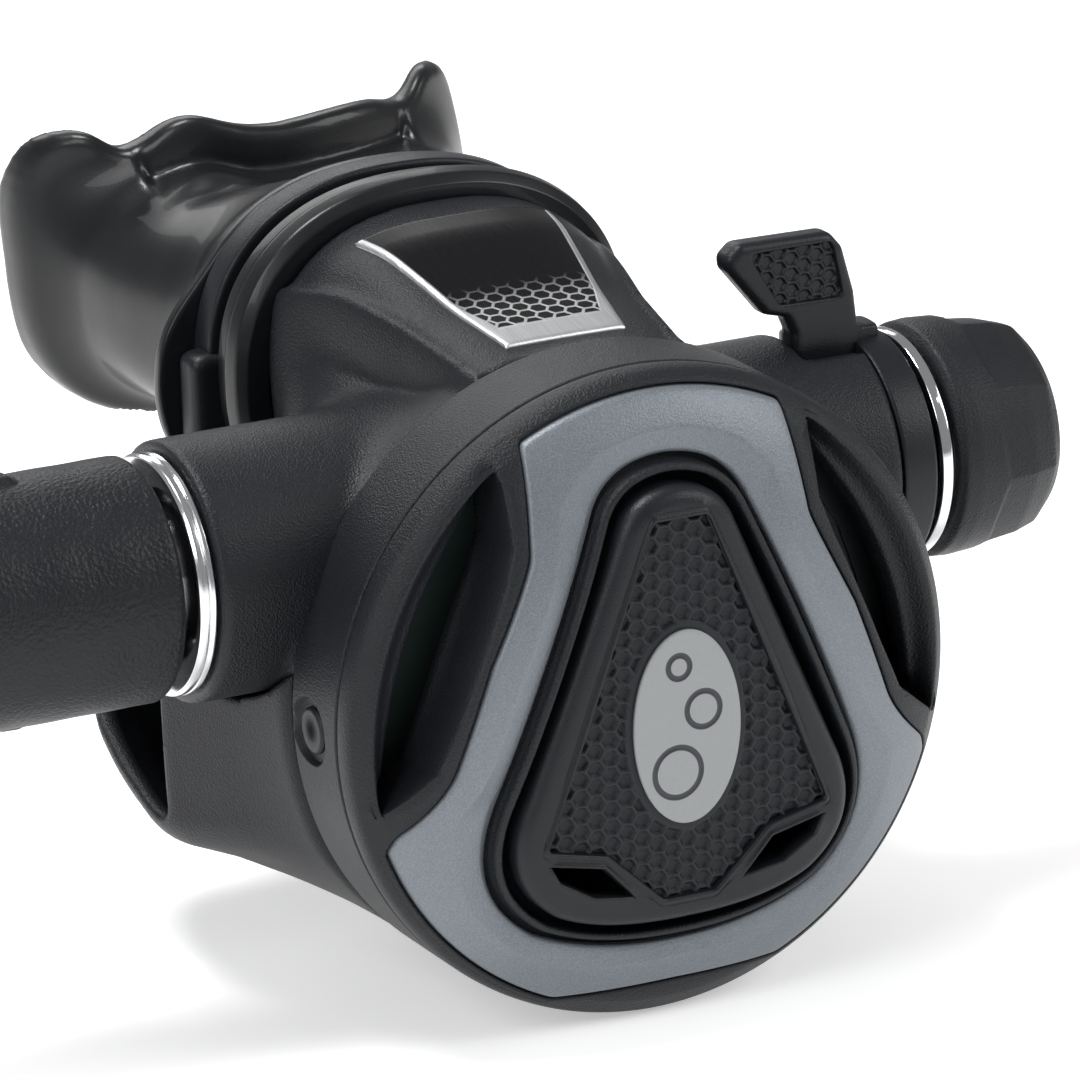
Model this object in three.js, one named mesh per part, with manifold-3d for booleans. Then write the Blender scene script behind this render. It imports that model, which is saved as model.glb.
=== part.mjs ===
// Second stage of a scuba regulator, in millimetres.
// X runs along the barrel from the hose end to the knob end, Y from the purge cover back to the
// mouthpiece, Z up. The model is drawn about the cover's axis and moved to its base at the end.
import * as THREE from 'three';
import { mergeVertices } from 'three/addons/utils/BufferGeometryUtils.js';
import { ParametricGeometry } from 'three/addons/geometries/ParametricGeometry.js';
import Module from 'manifold-3d';

const wasm = await Module();
wasm.setup();

// ---- driving dimensions ----
const GAP = 0.3;                      // between pieces that touch
const WALL = 2;                       // moulded walls
const WIDE = 36;                      // segments around the cover
const ROUND = 28;                     // segments around the barrel
const SMALL = 12;                     // segments around small round pieces
const LOFT = 24;                      // segments around the moulded bodies

const COVER = { radius: 36, rear: -3, parting: -14.2, bore: 33.3 };
const DOME = { base: -15, rise: 11, reach: 36.4, wall: 1.8 };
const NECK = { radius: 33, bore: 31, front: -9, rear: -2.6 };
const BARREL = { y: 9.2, z: 14, radius: 14.3, left: -44, right: 38.3 };
const TUBE = { radius: 7.5, bore: 6, left: -58, right: 49.5 };
const PORT = { z: 25.2, halfX: 18.5, halfZ: 15.5, front: 28, rear: 46 };
const MOUTH = { z: 27.5, flangeY: 68.5, flangeRadius: 36 };
const SLEEVE = { left: -90, right: -47.8 };
const KNOB = { left: 46.4, right: 61 };
const BASE_CENTRE = new THREE.Vector3(14.5, -34.2, 36);

// ---- materials ----
const finish = (color, roughness, metalness) => new THREE.MeshStandardMaterial({ color, roughness, metalness });
const BLACK = finish(0x2a2b2d, 0.62, 0);
const SOFT_BLACK = finish(0x26272a, 0.45, 0);
const GREY_PAINT = finish(0x5d666f, 0.42, 0.5);
const MARK_GREY = finish(0x929497, 0.55, 0.1);
const CHROME = finish(0xd8dadd, 0.12, 1);
const STEEL = finish(0xb4b7ba, 0.35, 1);
const BRASS = finish(0xb89a5a, 0.3, 1);
const RUBBER = finish(0x1d1e1f, 0.8, 0);
const CLEAR_SILICONE = finish(0x8d9a93, 0.5, 0);
const GREEN_PLASTIC = finish(0x2d5f4d, 0.55, 0);
const WHITE_PLASTIC = finish(0xd5d6d2, 0.5, 0);

// ---- solids and meshes ----
function solid(geometry) {
  const bare = geometry.clone();
  bare.deleteAttribute('normal');
  bare.deleteAttribute('uv');
  const merged = mergeVertices(bare, 1e-4);
  const points = merged.attributes.position.array;
  const corners = merged.index.array;
  const triangles = [];
  const [a, b, c] = [new THREE.Vector3(), new THREE.Vector3(), new THREE.Vector3()];
  let volume = 0;
  for (let i = 0; i < corners.length; i += 3) {
    const [p, q, r] = [corners[i], corners[i + 1], corners[i + 2]];
    if (p === q || q === r || r === p) continue;
    triangles.push(p, q, r);
    a.fromArray(points, 3 * p);
    b.fromArray(points, 3 * q);
    c.fromArray(points, 3 * r);
    volume += a.dot(b.cross(c));
  }
  if (volume < 0) triangles.reverse();
  const vertProperties = Float32Array.from(points);
  const triVerts = Uint32Array.from(triangles);
  return new wasm.Manifold(new wasm.Mesh({ numProp: 3, vertProperties, triVerts }));
}

const joined = (...solids) => solids.reduce((whole, next) => whole.add(next));
const largest = (body) => body.decompose().sort((a, b) => b.volume() - a.volume())[0];
const without = (body, ...cuts) => cuts.reduce((rest, cut) => rest.subtract(cut), body);

const set = new THREE.Group();
function piece(name, body, material) {
  const { vertProperties, triVerts } = body.getMesh();
  const geometry = new THREE.BufferGeometry();
  geometry.setAttribute('position', new THREE.BufferAttribute(Float32Array.from(vertProperties), 3));
  geometry.setIndex(new THREE.BufferAttribute(Uint32Array.from(triVerts), 1));
  geometry.computeVertexNormals();
  const mesh = new THREE.Mesh(geometry, material);
  mesh.name = name;
  set.add(mesh);
}

// ---- shapes along each axis ----
const vectors = (points) => points.map(([x, y]) => new THREE.Vector2(x, y));

// a turned solid on the cover's axis; its profile is [radius, y]
function turnedY(profile, segments = ROUND) {
  return solid(new THREE.LatheGeometry(vectors(profile), segments));
}

// a turned solid on the barrel's axis; its profile is [radius, x]
function turnedX(profile, segments = ROUND) {
  const geometry = new THREE.LatheGeometry(vectors(profile), segments);
  return solid(geometry.rotateZ(-Math.PI / 2).translate(0, BARREL.y, BARREL.z));
}

const tubeProfile = (inner, outer, from, to) =>
  [[inner, from], [outer, from], [outer, to], [inner, to], [inner, from]];
const rodProfile = (radius, from, to) => [[0, from], [radius, from], [radius, to], [0, to]];
const ringX = (inner, outer, from, to, segments) => turnedX(tubeProfile(inner, outer, from, to), segments);
const rodX = (radius, from, to, segments) => turnedX(rodProfile(radius, from, to), segments);
const ringY = (inner, outer, from, to, segments) => turnedY(tubeProfile(inner, outer, from, to), segments);
const rodY = (radius, from, to, segments) => turnedY(rodProfile(radius, from, to), segments);

function block(x0, x1, y0, y1, z0, z1) {
  const geometry = new THREE.BoxGeometry(x1 - x0, y1 - y0, z1 - z0);
  return solid(geometry.translate((x0 + x1) / 2, (y0 + y1) / 2, (z0 + z1) / 2));
}

// an outline drawn in X and Z, extruded along Y
function slabY(shape, front, back, curveSegments = 4) {
  const geometry = new THREE.ExtrudeGeometry(shape, { depth: back - front, bevelEnabled: false, curveSegments });
  return solid(geometry.rotateX(Math.PI / 2).translate(0, back, 0));
}

// an outline drawn in Y and Z, extruded along X
function slabX(shape, left, right, curveSegments = 4) {
  const geometry = new THREE.ExtrudeGeometry(shape, { depth: right - left, bevelEnabled: false, curveSegments });
  return solid(geometry.rotateY(Math.PI / 2).rotateX(Math.PI / 2).translate(left, 0, 0));
}

// an outline drawn in X and Y, extruded along Z
function slabZ(shape, bottom, top, curveSegments = 4) {
  const geometry = new THREE.ExtrudeGeometry(shape, { depth: top - bottom, bevelEnabled: false, curveSegments });
  return solid(geometry.translate(0, 0, bottom));
}

const polygon = (points) => new THREE.Shape(vectors(points));

function hexagon(radius) {
  const corner = (k) => new THREE.Vector2(radius * Math.cos(k * Math.PI / 3), radius * Math.sin(k * Math.PI / 3));
  return new THREE.Shape([0, 1, 2, 3, 4, 5].map(corner));
}

// sections { y, z, halfX, halfZ, power } are superellipses square to Y, joined in order
function loft(sections, around = LOFT, grow = 0) {
  const rows = [sections[0], ...sections, sections[sections.length - 1]];
  const last = rows.length - 1;
  const bend = (value, power) => Math.sign(value) * Math.abs(value) ** (2 / power);
  const surface = (u, v, target) => {
    const row = Math.round(u * last);
    const { y, z, halfX, halfZ, power = 2 } = rows[row];
    const reach = row === 0 || row === last ? 0 : 1;
    const angle = 2 * Math.PI * v;
    target.set(
      reach * (halfX + grow) * bend(Math.cos(angle), power),
      y,
      z + reach * (halfZ + grow) * bend(Math.sin(angle), power),
    );
  };
  return solid(new ParametricGeometry(surface, last, around));
}

// rows { y, points } are closed outlines in X and Z with equal point counts, joined in order
function skin(rows) {
  const ends = [rows[0], ...rows, rows[rows.length - 1]];
  const last = ends.length - 1;
  const count = rows[0].points.length;
  const middle = (points) => points.reduce(([x, z], [px, pz]) => [x + px / count, z + pz / count], [0, 0]);
  const surface = (u, v, target) => {
    const row = Math.round(u * last);
    const { y, points } = ends[row];
    const [x, z] = row === 0 || row === last ? middle(points) : points[Math.round(v * count) % count];
    target.set(x, y, z);
  };
  return solid(new ParametricGeometry(surface, last, count));
}

class Helix extends THREE.Curve {
  constructor(radius, turns, from, to, place) {
    super();
    Object.assign(this, { radius, turns, from, to, place });
  }
  getPoint(t, target = new THREE.Vector3()) {
    const angle = 2 * Math.PI * this.turns * t;
    const along = this.from + (this.to - this.from) * t;
    return target.copy(this.place(this.radius * Math.cos(angle), this.radius * Math.sin(angle), along));
  }
}

function coil(radius, wire, turns, from, to, place, steps, sides = 3) {
  const section = new THREE.Shape();
  section.absarc(0, 0, wire, 0, 2 * Math.PI);
  const extrudePath = new Helix(radius, turns, from, to, place);
  const options = { steps, extrudePath, curveSegments: sides, bevelEnabled: false };
  return solid(new THREE.ExtrudeGeometry(section, options));
}

const aroundBarrel = (across, up, along) => new THREE.Vector3(along, BARREL.y + across, BARREL.z + up);
const aroundCover = (across, up, along) => new THREE.Vector3(across, along, up);

function sealX(radius, wire, x) {
  const geometry = new THREE.TorusGeometry(radius, wire, 6, SMALL);
  return solid(geometry.rotateY(Math.PI / 2).translate(x, BARREL.y, BARREL.z));
}

// ---- the dome that the cover, the trim plate and the windows share ----
const domeY = (radius) => DOME.base - DOME.rise * Math.sqrt(1 - (radius / DOME.reach) ** 2);
const DOME_RADII = [0, 12, 20, 26, 31, 34.3];
const domeLine = (offset) => DOME_RADII.map((radius) => [radius, domeY(radius) + offset]);
const domeShell = (front, back) => {
  const outer = domeLine(front);
  const inner = domeLine(back).reverse();
  return turnedY([...outer, ...inner], WIDE);
};

// the purge opening, drawn inwards by inset
function purgeOutline(inset) {
  const shape = new THREE.Shape();
  const half = (side) => ({
    topCtrl: [side * (7.2 - 0.75 * inset), 27.2 - inset],
    sideTop: [side * (9.2 - 0.92 * inset), 21.5 - 0.39 * inset],
    sideLow: [side * (20.6 - 0.92 * inset), -5.5 - 0.39 * inset],
    cornerCtrl: [side * (25.3 - 1.1 * inset), -16.5 + 0.45 * inset],
    cornerEnd: [side * (16.5 - 0.5 * inset), -22.6 + 0.86 * inset],
    lowCtrl: [side * 10, -25.8 + inset],
  });
  const [right, left] = [half(1), half(-1)];
  shape.moveTo(0, 27.4 - inset);
  shape.quadraticCurveTo(...right.topCtrl, ...right.sideTop);
  shape.lineTo(...right.sideLow);
  shape.quadraticCurveTo(...right.cornerCtrl, ...right.cornerEnd);
  shape.quadraticCurveTo(...right.lowCtrl, 0, -25.7 + inset);
  shape.quadraticCurveTo(...left.lowCtrl, ...left.cornerEnd);
  shape.quadraticCurveTo(...left.cornerCtrl, ...left.sideLow);
  shape.lineTo(...left.sideTop);
  shape.quadraticCurveTo(...left.topCtrl, 0, 27.4 - inset);
  return shape;
}

// the trim plate's outer edge: two arcs on the rim, a waist at each side and a straight foot
function plateOutline(grow) {
  const rim = 34.3;
  const topAngle = Math.atan2(30.6, 15.4);
  const sideAngle = Math.atan2(-11.5, 32.3);
  const footAngle = Math.atan2(-31.6, 13.7);
  const shape = new THREE.Shape();
  shape.absarc(0, 0, rim, topAngle, Math.PI - topAngle, false);
  shape.lineTo(-(16.5 + grow), 19.5);
  shape.quadraticCurveTo(-(16.8 + grow), 17.8, -(21.6 + grow), 8.5);
  shape.lineTo(-(25.6 + grow), -2.2 + grow);
  shape.quadraticCurveTo(-(26.8 + grow), -5.6 + grow, -(31.6 + grow), -9.6 + grow);
  shape.absarc(0, 0, rim, Math.PI - sideAngle, Math.PI - footAngle, false);
  shape.lineTo(0, -31.2 - grow);
  shape.absarc(0, 0, rim, footAngle, sideAngle, false);
  shape.lineTo(31.6 + grow, -9.6 + grow);
  shape.quadraticCurveTo(26.8 + grow, -5.6 + grow, 25.6 + grow, -2.2 + grow);
  shape.lineTo(21.6 + grow, 8.5);
  shape.quadraticCurveTo(16.8 + grow, 17.8, 16.5 + grow, 19.5);
  shape.closePath();
  return shape;
}

// one crescent window beside the plate; side is 1 or -1
function windowOutline(side) {
  const rim = 34;
  const low = Math.atan2(-7.2, 33.2);
  const high = Math.atan2(28.4, 18.7);
  const shape = new THREE.Shape();
  const steps = 10;
  shape.moveTo(side * 18.3, 27.4);
  shape.lineTo(side * 18.3, 20.5);
  shape.lineTo(side * 19.6, 16.5);
  shape.lineTo(side * 25.3, 2.8);
  shape.lineTo(side * 27.9, -2.8);
  for (let k = 0; k <= steps; k += 1) {
    const angle = low + (high - low) * k / steps;
    shape.lineTo(side * rim * Math.cos(angle), rim * Math.sin(angle));
  }
  shape.closePath();
  return shape;
}

// ---- case ----
const CASE_SECTIONS = [
  { y: -2.6, z: 0, halfX: 34.6, halfZ: 34.6 },
  { y: 1.5, z: 0.8, halfX: 33.6, halfZ: 33.8 },
  { y: 12, z: 7, halfX: 28.4, halfZ: 25, power: 2.3 },
  { y: 22, z: 17, halfX: 23, halfZ: 20.4, power: 2.2 },
  { y: 30, z: 25.2, halfX: 20.6, halfZ: 18.2, power: 2.3 },
  { y: 31.5, z: 25.2, halfX: 20.6, halfZ: 18.2, power: 2.3 },
];
// the raised saddle on top that carries the label
const SADDLE_SECTIONS = [
  { y: -2.6, z: 20, halfX: 12.6, halfZ: 14.6, power: 3 },
  { y: 10, z: 21, halfX: 14.6, halfZ: 16.4, power: 2.9 },
  { y: 22, z: 23.5, halfX: 18, halfZ: 18.2, power: 2.7 },
  { y: 31.5, z: 25.2, halfX: 20.6, halfZ: 18.2, power: 2.5 },
];
const portRow = (y, grow) =>
  ({ y, z: PORT.z, halfX: PORT.halfX + grow, halfZ: PORT.halfZ + grow, power: 2.3 });
const LOCK = { y: -7.6, z: -0.5, radius: 2.4, stem: 1 };
const EXHAUST = { y: 14.6, z: -14.8, tilt: THREE.MathUtils.degToRad(56), bore: 11.5, pad: 14.5 };

// a disc or ring square to the case's sloping rear wall; low and high are heights along its normal
function onSlope(profile) {
  const geometry = new THREE.LatheGeometry(vectors(profile), 32);
  return solid(geometry.rotateX(-Math.PI / 2 + EXHAUST.tilt).translate(0, EXHAUST.y, EXHAUST.z));
}

// a rod on the lock pin's axis, which runs along X through the left side of the cover ring
function lockRod(radius, from, to) {
  const geometry = new THREE.CylinderGeometry(radius, radius, to - from, SMALL).rotateZ(Math.PI / 2);
  return solid(geometry.translate((from + to) / 2, LOCK.y, LOCK.z));
}

function makeCase() {
  const barrel = rodX(BARREL.radius, BARREL.left, BARREL.right);
  const ringRoom = rodY(COVER.radius + GAP, -30, COVER.rear + GAP, WIDE);
  const shell = without(joined(loft(CASE_SECTIONS), loft(SADDLE_SECTIONS), barrel), ringRoom);
  const neck = rodY(NECK.radius, NECK.front, NECK.rear + 0.2, WIDE);
  const port = loft([portRow(PORT.front, 0), portRow(PORT.rear, 0)]);
  const portLip = loft([portRow(PORT.rear - 2.5, 0.8), portRow(PORT.rear, 0.8)]);
  const exhaustPad = onSlope(rodProfile(EXHAUST.pad, -1.5, 1.8));
  const outside = joined(shell, neck, port, portLip, exhaustPad);
  const cavity = joined(
    rodY(NECK.bore, NECK.front - 1, NECK.rear + 1, WIDE),
    loft(CASE_SECTIONS.map((row) => ({ ...row, y: row.y - (row.y > 25 ? WALL : 0) })), LOFT, -WALL),
  );
  const portBore = loft([portRow(PORT.front - 3, -WALL), portRow(PORT.rear + 1, -WALL)]);
  const bosses = without(joined(rodX(11, BARREL.left, -24), ringX(10.6, 12.5, 22, BARREL.right)), ringRoom);
  const hollow = joined(without(outside, cavity, portBore), bosses);
  const bores = joined(rodX(TUBE.radius + GAP, -50, 0), rodX(10.5, 10, 50));
  const leverRoom = ringX(10.5, 16, 30.6, 50);
  const notch = leverRoom.intersect(block(30.6, 50, BARREL.y - 6, 40, BARREL.z + 4.5, 50));
  const exhaustBore = onSlope(rodProfile(EXHAUST.bore, -8, 8));
  const gridSeat = onSlope(rodProfile(13, 0, 8));
  return largest(without(hollow, bores, notch, exhaustBore, gridSeat, lockRod(LOCK.stem + 0.25, -36, -28)));
}

// ---- exhaust ----
// half of the duct's section at its ports, from the side down to the keel
const WING = [[41.5, 8], [41.5, -4], [41.5, -12], [41.3, -19], [39.6, -21.4], [33.5, -23.6], [26.4, -27],
  [18, -29.8], [9, -31.2], [0, -31.6]];
// y, how far the round front has become the wing, and how much is left of its width and depth
const TEE_ROWS = [
  [-2.5, 0, 1, 1], [5, 0.22, 1, 1], [13, 0.6, 1, 1], [21.5, 1, 1, 1],
  [32, 1, 0.99, 0.86], [41, 1, 0.96, 0.7], [46.5, 1, 0.9, 0.56], [48.6, 1, 0.8, 0.42],
];
const TEE_FRONT = 35.8;

function teeBody(grow) {
  const rows = TEE_ROWS.map(([y, blend, wide, deep]) => {
    const half = WING.map(([x, z]) => {
      const reach = Math.hypot(x, z);
      const scale = (1 - blend) * TEE_FRONT / reach + blend;
      const shrink = 1 + grow / reach;
      return [x * scale * wide * shrink, z * scale * deep * shrink];
    });
    const other = half.slice(0, -1).reverse().map(([x, z]) => [-x, z]);
    return { y: y + (blend === 1 && wide < 0.9 ? grow : 0), points: [...half, ...other] };
  });
  return skin(rows);
}

function makeTee() {
  const roofY = BARREL.y + BARREL.radius + GAP;
  const below = joined(block(-60, 60, -10, roofY, -60, -0.8), block(-60, 60, roofY - 1, 60, -60, 3));
  const hollowRoom = joined(block(-60, 60, -10, roofY, -60, 5), block(-60, 60, roofY - 1, 60, -60, 1));
  const outer = teeBody(0).intersect(below);
  const inner = teeBody(-WALL).intersect(hollowRoom);
  const ports = slabX(polygon([[23.6, -17.2], [23.6, -2.4], [43, -2.4], [43, -10.5]]), -60, 60);
  const caseRoom = loft(CASE_SECTIONS, LOFT, GAP);
  const barrelRoom = rodX(BARREL.radius + GAP, -60, 60);
  const padRoom = onSlope(rodProfile(EXHAUST.pad + GAP, -3, 2.1));
  const ringRoom = rodY(COVER.radius + 2, -30, COVER.rear + GAP, WIDE);
  return without(outer, inner, ports, caseRoom, barrelRoom, padRoom, ringRoom);
}

function makeExhaustGrid() {
  const rim = onSlope(tubeProfile(10.8, 12.7, 0.3, 1.8));
  const hub = onSlope(tubeProfile(1.6, 3, 0.3, 1.8));
  const spokeGeometry = (turn) => new THREE.BoxGeometry(9, 1.5, 1.6).translate(6.6, 1.05, 0).rotateY(turn);
  const spoke = (turn) => {
    const geometry = spokeGeometry(turn).rotateX(-Math.PI / 2 + EXHAUST.tilt);
    return solid(geometry.translate(0, EXHAUST.y, EXHAUST.z));
  };
  return joined(rim, hub, spoke(0), spoke(2 * Math.PI / 3), spoke(4 * Math.PI / 3));
}

function makeExhaustValve() {
  return onSlope([[0, -2.2], [1.9, -1.6], [1.9, 0], [1.3, 0], [1.3, 2.1], [13.4, 2.1], [13.6, 2.6], [2, 3.2], [0, 3.2]]);
}

// ---- cover ----
function makeFrontCover() {
  const outer = domeLine(0);
  const inner = domeLine(DOME.wall).filter(([radius]) => radius < 30).reverse();
  const skirt = [[35.4, -17], [36, -15.6], [36, COVER.parting - GAP], [33, COVER.parting - GAP],
    [33, -11.1], [31.2, -11.1], [31.2, -16.4]];
  const shell = turnedY([...outer, ...skirt, ...inner], WIDE);
  const plateSeat = domeShell(-1, 1.3).intersect(slabY(plateOutline(GAP), -40, -10));
  const innerRim = slabY(purgeOutline(GAP), -40, -10);
  const windows = [1, -1].map((side) => slabY(windowOutline(side), -40, -12.5));
  const opening = slabY(purgeOutline(1.3), -40, -15);
  const cut = without(shell, without(plateSeat, innerRim), ...windows, opening);
  const hub = ringY(4.4, 8.4, -13.6, -12.4, SMALL);
  const spider = [1, -1].map((side) => block(-2.5, 2.5, -13.6, -12.4, side * 20 - 12.2, side * 20 + 12.2));
  return joined(cut, hub, ...spider);
}

function makeTrimPlate() {
  const body = domeShell(-0.2, 1).intersect(slabY(plateOutline(0), -40, -10));
  return without(body, slabY(purgeOutline(0), -41, -9));
}

const PURGE = { front: -25.6, travel: 3.2 };
const PANEL = [[3.3, 21.7], [16.8, -12.5], [9.7, -14.1], [3.1, -20.3]];
const VENT = [[16.6, -14.1], [10.1, -15.5], [6.4, -19.5], [11.4, -18.6]];
const mirrored = (points) => points.map(([x, z]) => [-x, z]).reverse();

function makeButton() {
  const face = slabY(purgeOutline(2.4), PURGE.front + 0.9, -19.4);
  const crown = slabY(purgeOutline(3.1), PURGE.front, PURGE.front + 0.95);
  const flange = slabY(purgeOutline(0.6), -19.5, -18.5);
  const inside = slabY(purgeOutline(4), PURGE.front + 2.4, -10);
  const panel = slabY(polygon([...PANEL, ...mirrored(PANEL)]), -40, PURGE.front + 0.8);
  const vents = [VENT, mirrored(VENT)].map((points) => slabY(polygon(points), -40, -10));
  const post = rodY(3.8, PURGE.front + 2.2, -11.7, SMALL);
  return joined(without(joined(face, crown, flange), inside, panel, ...vents), post);
}

function makeEmblem() {
  const oval = new THREE.Shape();
  oval.absellipse(0, -1.3, 6.4, 10.8, 0, 2 * Math.PI);
  return slabY(oval, PURGE.front + 0.05, PURGE.front + 0.5, 24);
}

// ---- diaphragm ----
function makeMembrane() {
  return turnedY([[0, -10.2], [14.5, -10.2], [19, -9.5], [24, -10.2], [29, -10.2], [32.8, -10.2],
    [32.8, -9.3], [29, -9.3], [24, -9.3], [19, -8.6], [14.5, -9.3], [0, -9.3]]);
}

// ---- demand lever: a forked foot on the tube and an arm out to the diaphragm ----
const LEVER = { x: -17, y: 12.4, legZ: 8.2, thick: 1 };

function makeLever() {
  const [left, right] = [LEVER.x - 2.2, LEVER.x + 2.2];
  const [low, high] = [BARREL.z - LEVER.legZ, BARREL.z + LEVER.legZ];
  const leg = (z0, z1) => block(left, right, -0.4, LEVER.y + 2, z0, z1);
  const bridge = block(left, right, -0.6, 0.6, -2.2, high + LEVER.thick - 0.1);
  const arm = slabZ(polygon([[left, -0.1], [right, -0.1], [4, -6.8], [6, -7.6], [-1, -7.6]]), -2.5, 2.5);
  const hole = solid(new THREE.CylinderGeometry(0.9, 0.9, 40, SMALL).rotateX(Math.PI / 2)
    .translate(LEVER.x, LEVER.y, BARREL.z));
  const finger = (z0, z1) => block(LEVER.x + 0.6, LEVER.x + 1.8, BARREL.y - 1, BARREL.y + 1, z0, z1);
  const fork = without(joined(leg(low - LEVER.thick, low), leg(high, high + LEVER.thick)), hole);
  return joined(fork, bridge, arm, finger(low - 0.5, BARREL.z - 3.4), finger(BARREL.z + 3.4, high + 0.5));
}

// ---- valve inside the barrel ----
function makeValveTube() {
  const body = ringX(TUBE.bore, TUBE.radius, TUBE.left, TUBE.right);
  const slot = block(LEVER.x - 3.4, LEVER.x + 5, BARREL.y - 5, LEVER.y + 1.1, -10, 40);
  const leverFront = block(LEVER.x - 3.6, LEVER.x + 4.6, -12, 3.2, -10, 40);
  const airWindow = block(-9, -2, BARREL.y + 2, 40, BARREL.z - 3, BARREL.z + 3);
  return without(body, slot, leverFront, airWindow);
}

function makeOrifice() {
  return turnedX([[2, -46], [5.7, -46], [5.7, -43], [4.5, -43], [4.5, -41], [5.7, -41], [5.7, -33],
    [3.2, -30.6], [2.7, -30], [2, -30], [2, -46]], SMALL);
}

function makePoppet() {
  return turnedX([[0, -27.4], [3.5, -27.4], [3.5, -29], [4.6, -29], [4.6, -24], [2.1, -23], [2.1, -14.8],
    [5.3, -14.8], [5.3, -13.4], [2.1, -13.4], [2.1, -6], [1.8, -5.4], [1.8, 5], [0, 5]], SMALL);
}

function makeScrew() {
  return turnedX([[0, 12.4], [5.6, 12.4], [5.6, 24], [4.4, 24], [4.4, 26], [5.6, 26], [5.6, 40],
    [3, 41], [3, 55], [0, 55]], SMALL);
}

// ---- knob and rings ----
function makeKnob() {
  const body = turnedX([[0, KNOB.right], [8, 60.9], [10.6, 60.2], [12, 58.8], [12.8, 56], [13.2, 52], [13.4, 48.6],
    [13.3, 47], [12.9, KNOB.left], [10.6, KNOB.left], [10.6, 51], [0, 51]], 30);
  const grooves = [];
  const count = 8;
  const firstGroove = THREE.MathUtils.degToRad(66);
  for (let k = 0; k < count; k += 1) {
    const groove = new THREE.BoxGeometry(12, 0.9, 2).translate(57.6, 0, 13.6);
    groove.rotateX(firstGroove + k * 2 * Math.PI / count).translate(0, BARREL.y, BARREL.z);
    grooves.push(solid(groove));
  }
  const stemBore = rodX(3.2, 50, 55.4, SMALL);
  return without(body, ...grooves, stemBore);
}

function makeVenturiLever() {
  const collar = ringX(10.6, 13.7, BARREL.right + 0.4, 43);
  const foot = block(31.2, 42, BARREL.y - 2.4, BARREL.y + 1.6, BARREL.z + 10.8, 29.8);
  const blade = slabY(polygon([[24.6, 40.4], [23, 39], [23.1, 37.6], [27.7, 31.9], [30.3, 31.2], [31.2, 29],
    [39.4, 29], [39, 33], [37.6, 38.3], [36, 40.2]]), BARREL.y - 2.9, BARREL.y + 0.6);
  const fingerPad = slabY(polygon([[26.2, 38.8], [29.9, 33.2], [36.7, 32.9], [35.6, 38.8]]), -20, BARREL.y - 2.2);
  return without(joined(collar, foot, blade), fingerPad, rodX(10.6, 20, 50));
}

function makeVane() {
  const sleeve = ringX(TUBE.radius + GAP, 10.2, 16, 43);
  const vane = ringX(8.4, 9.8, 2, 17).intersect(block(0, 20, BARREL.y + 1, 40, BARREL.z - 4, 40));
  return joined(sleeve, vane);
}

function makeSleeve() {
  const body = turnedX([[9.2, SLEEVE.right - 1.4], [9.2, SLEEVE.right - 0.5], [10.4, SLEEVE.right], [13.1, SLEEVE.right],
    [13.4, SLEEVE.right - 0.5], [13.4, -84], [12.6, -88.6], [11.4, SLEEVE.left], [8.2, SLEEVE.left], [7.4, -89],
    [7.4, -64], [11.2, -64], [11.2, SLEEVE.right - 1.4], [9.2, SLEEVE.right - 1.4]]);
  const lug = (turn) => {
    const geometry = new THREE.BoxGeometry(3.4, 2.6, 1.6).translate(-63.5, 0, 13.4).rotateX(turn);
    return solid(geometry.translate(0, BARREL.y, BARREL.z));
  };
  return joined(body, lug(0), lug(Math.PI));
}

// ---- inlet ----
function makeHoseNut() {
  const hex = solid(new THREE.ExtrudeGeometry(hexagon(9.9), { depth: 11.4, bevelEnabled: false })
    .rotateY(Math.PI / 2).translate(-62, BARREL.y, BARREL.z));
  return without(hex, rodX(TUBE.radius + GAP, -60.2, -40), rodX(4.6, -70, -59));
}

function makeInletFitting() {
  const barb = (x) => [[4.3, x], [3.8, x - 3.2]];
  return turnedX([[2.4, -51], [5.2, -51], [5.2, -53.2], [4.2, -53.2], [4.2, -55], [5.2, -55], [5.2, -58.3],
    [7, -58.3], [7, -59.8], [4.3, -59.8], ...barb(-70), ...barb(-74), ...barb(-78), [2.4, -81.2], [2.4, -51]], SMALL);
}

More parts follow.
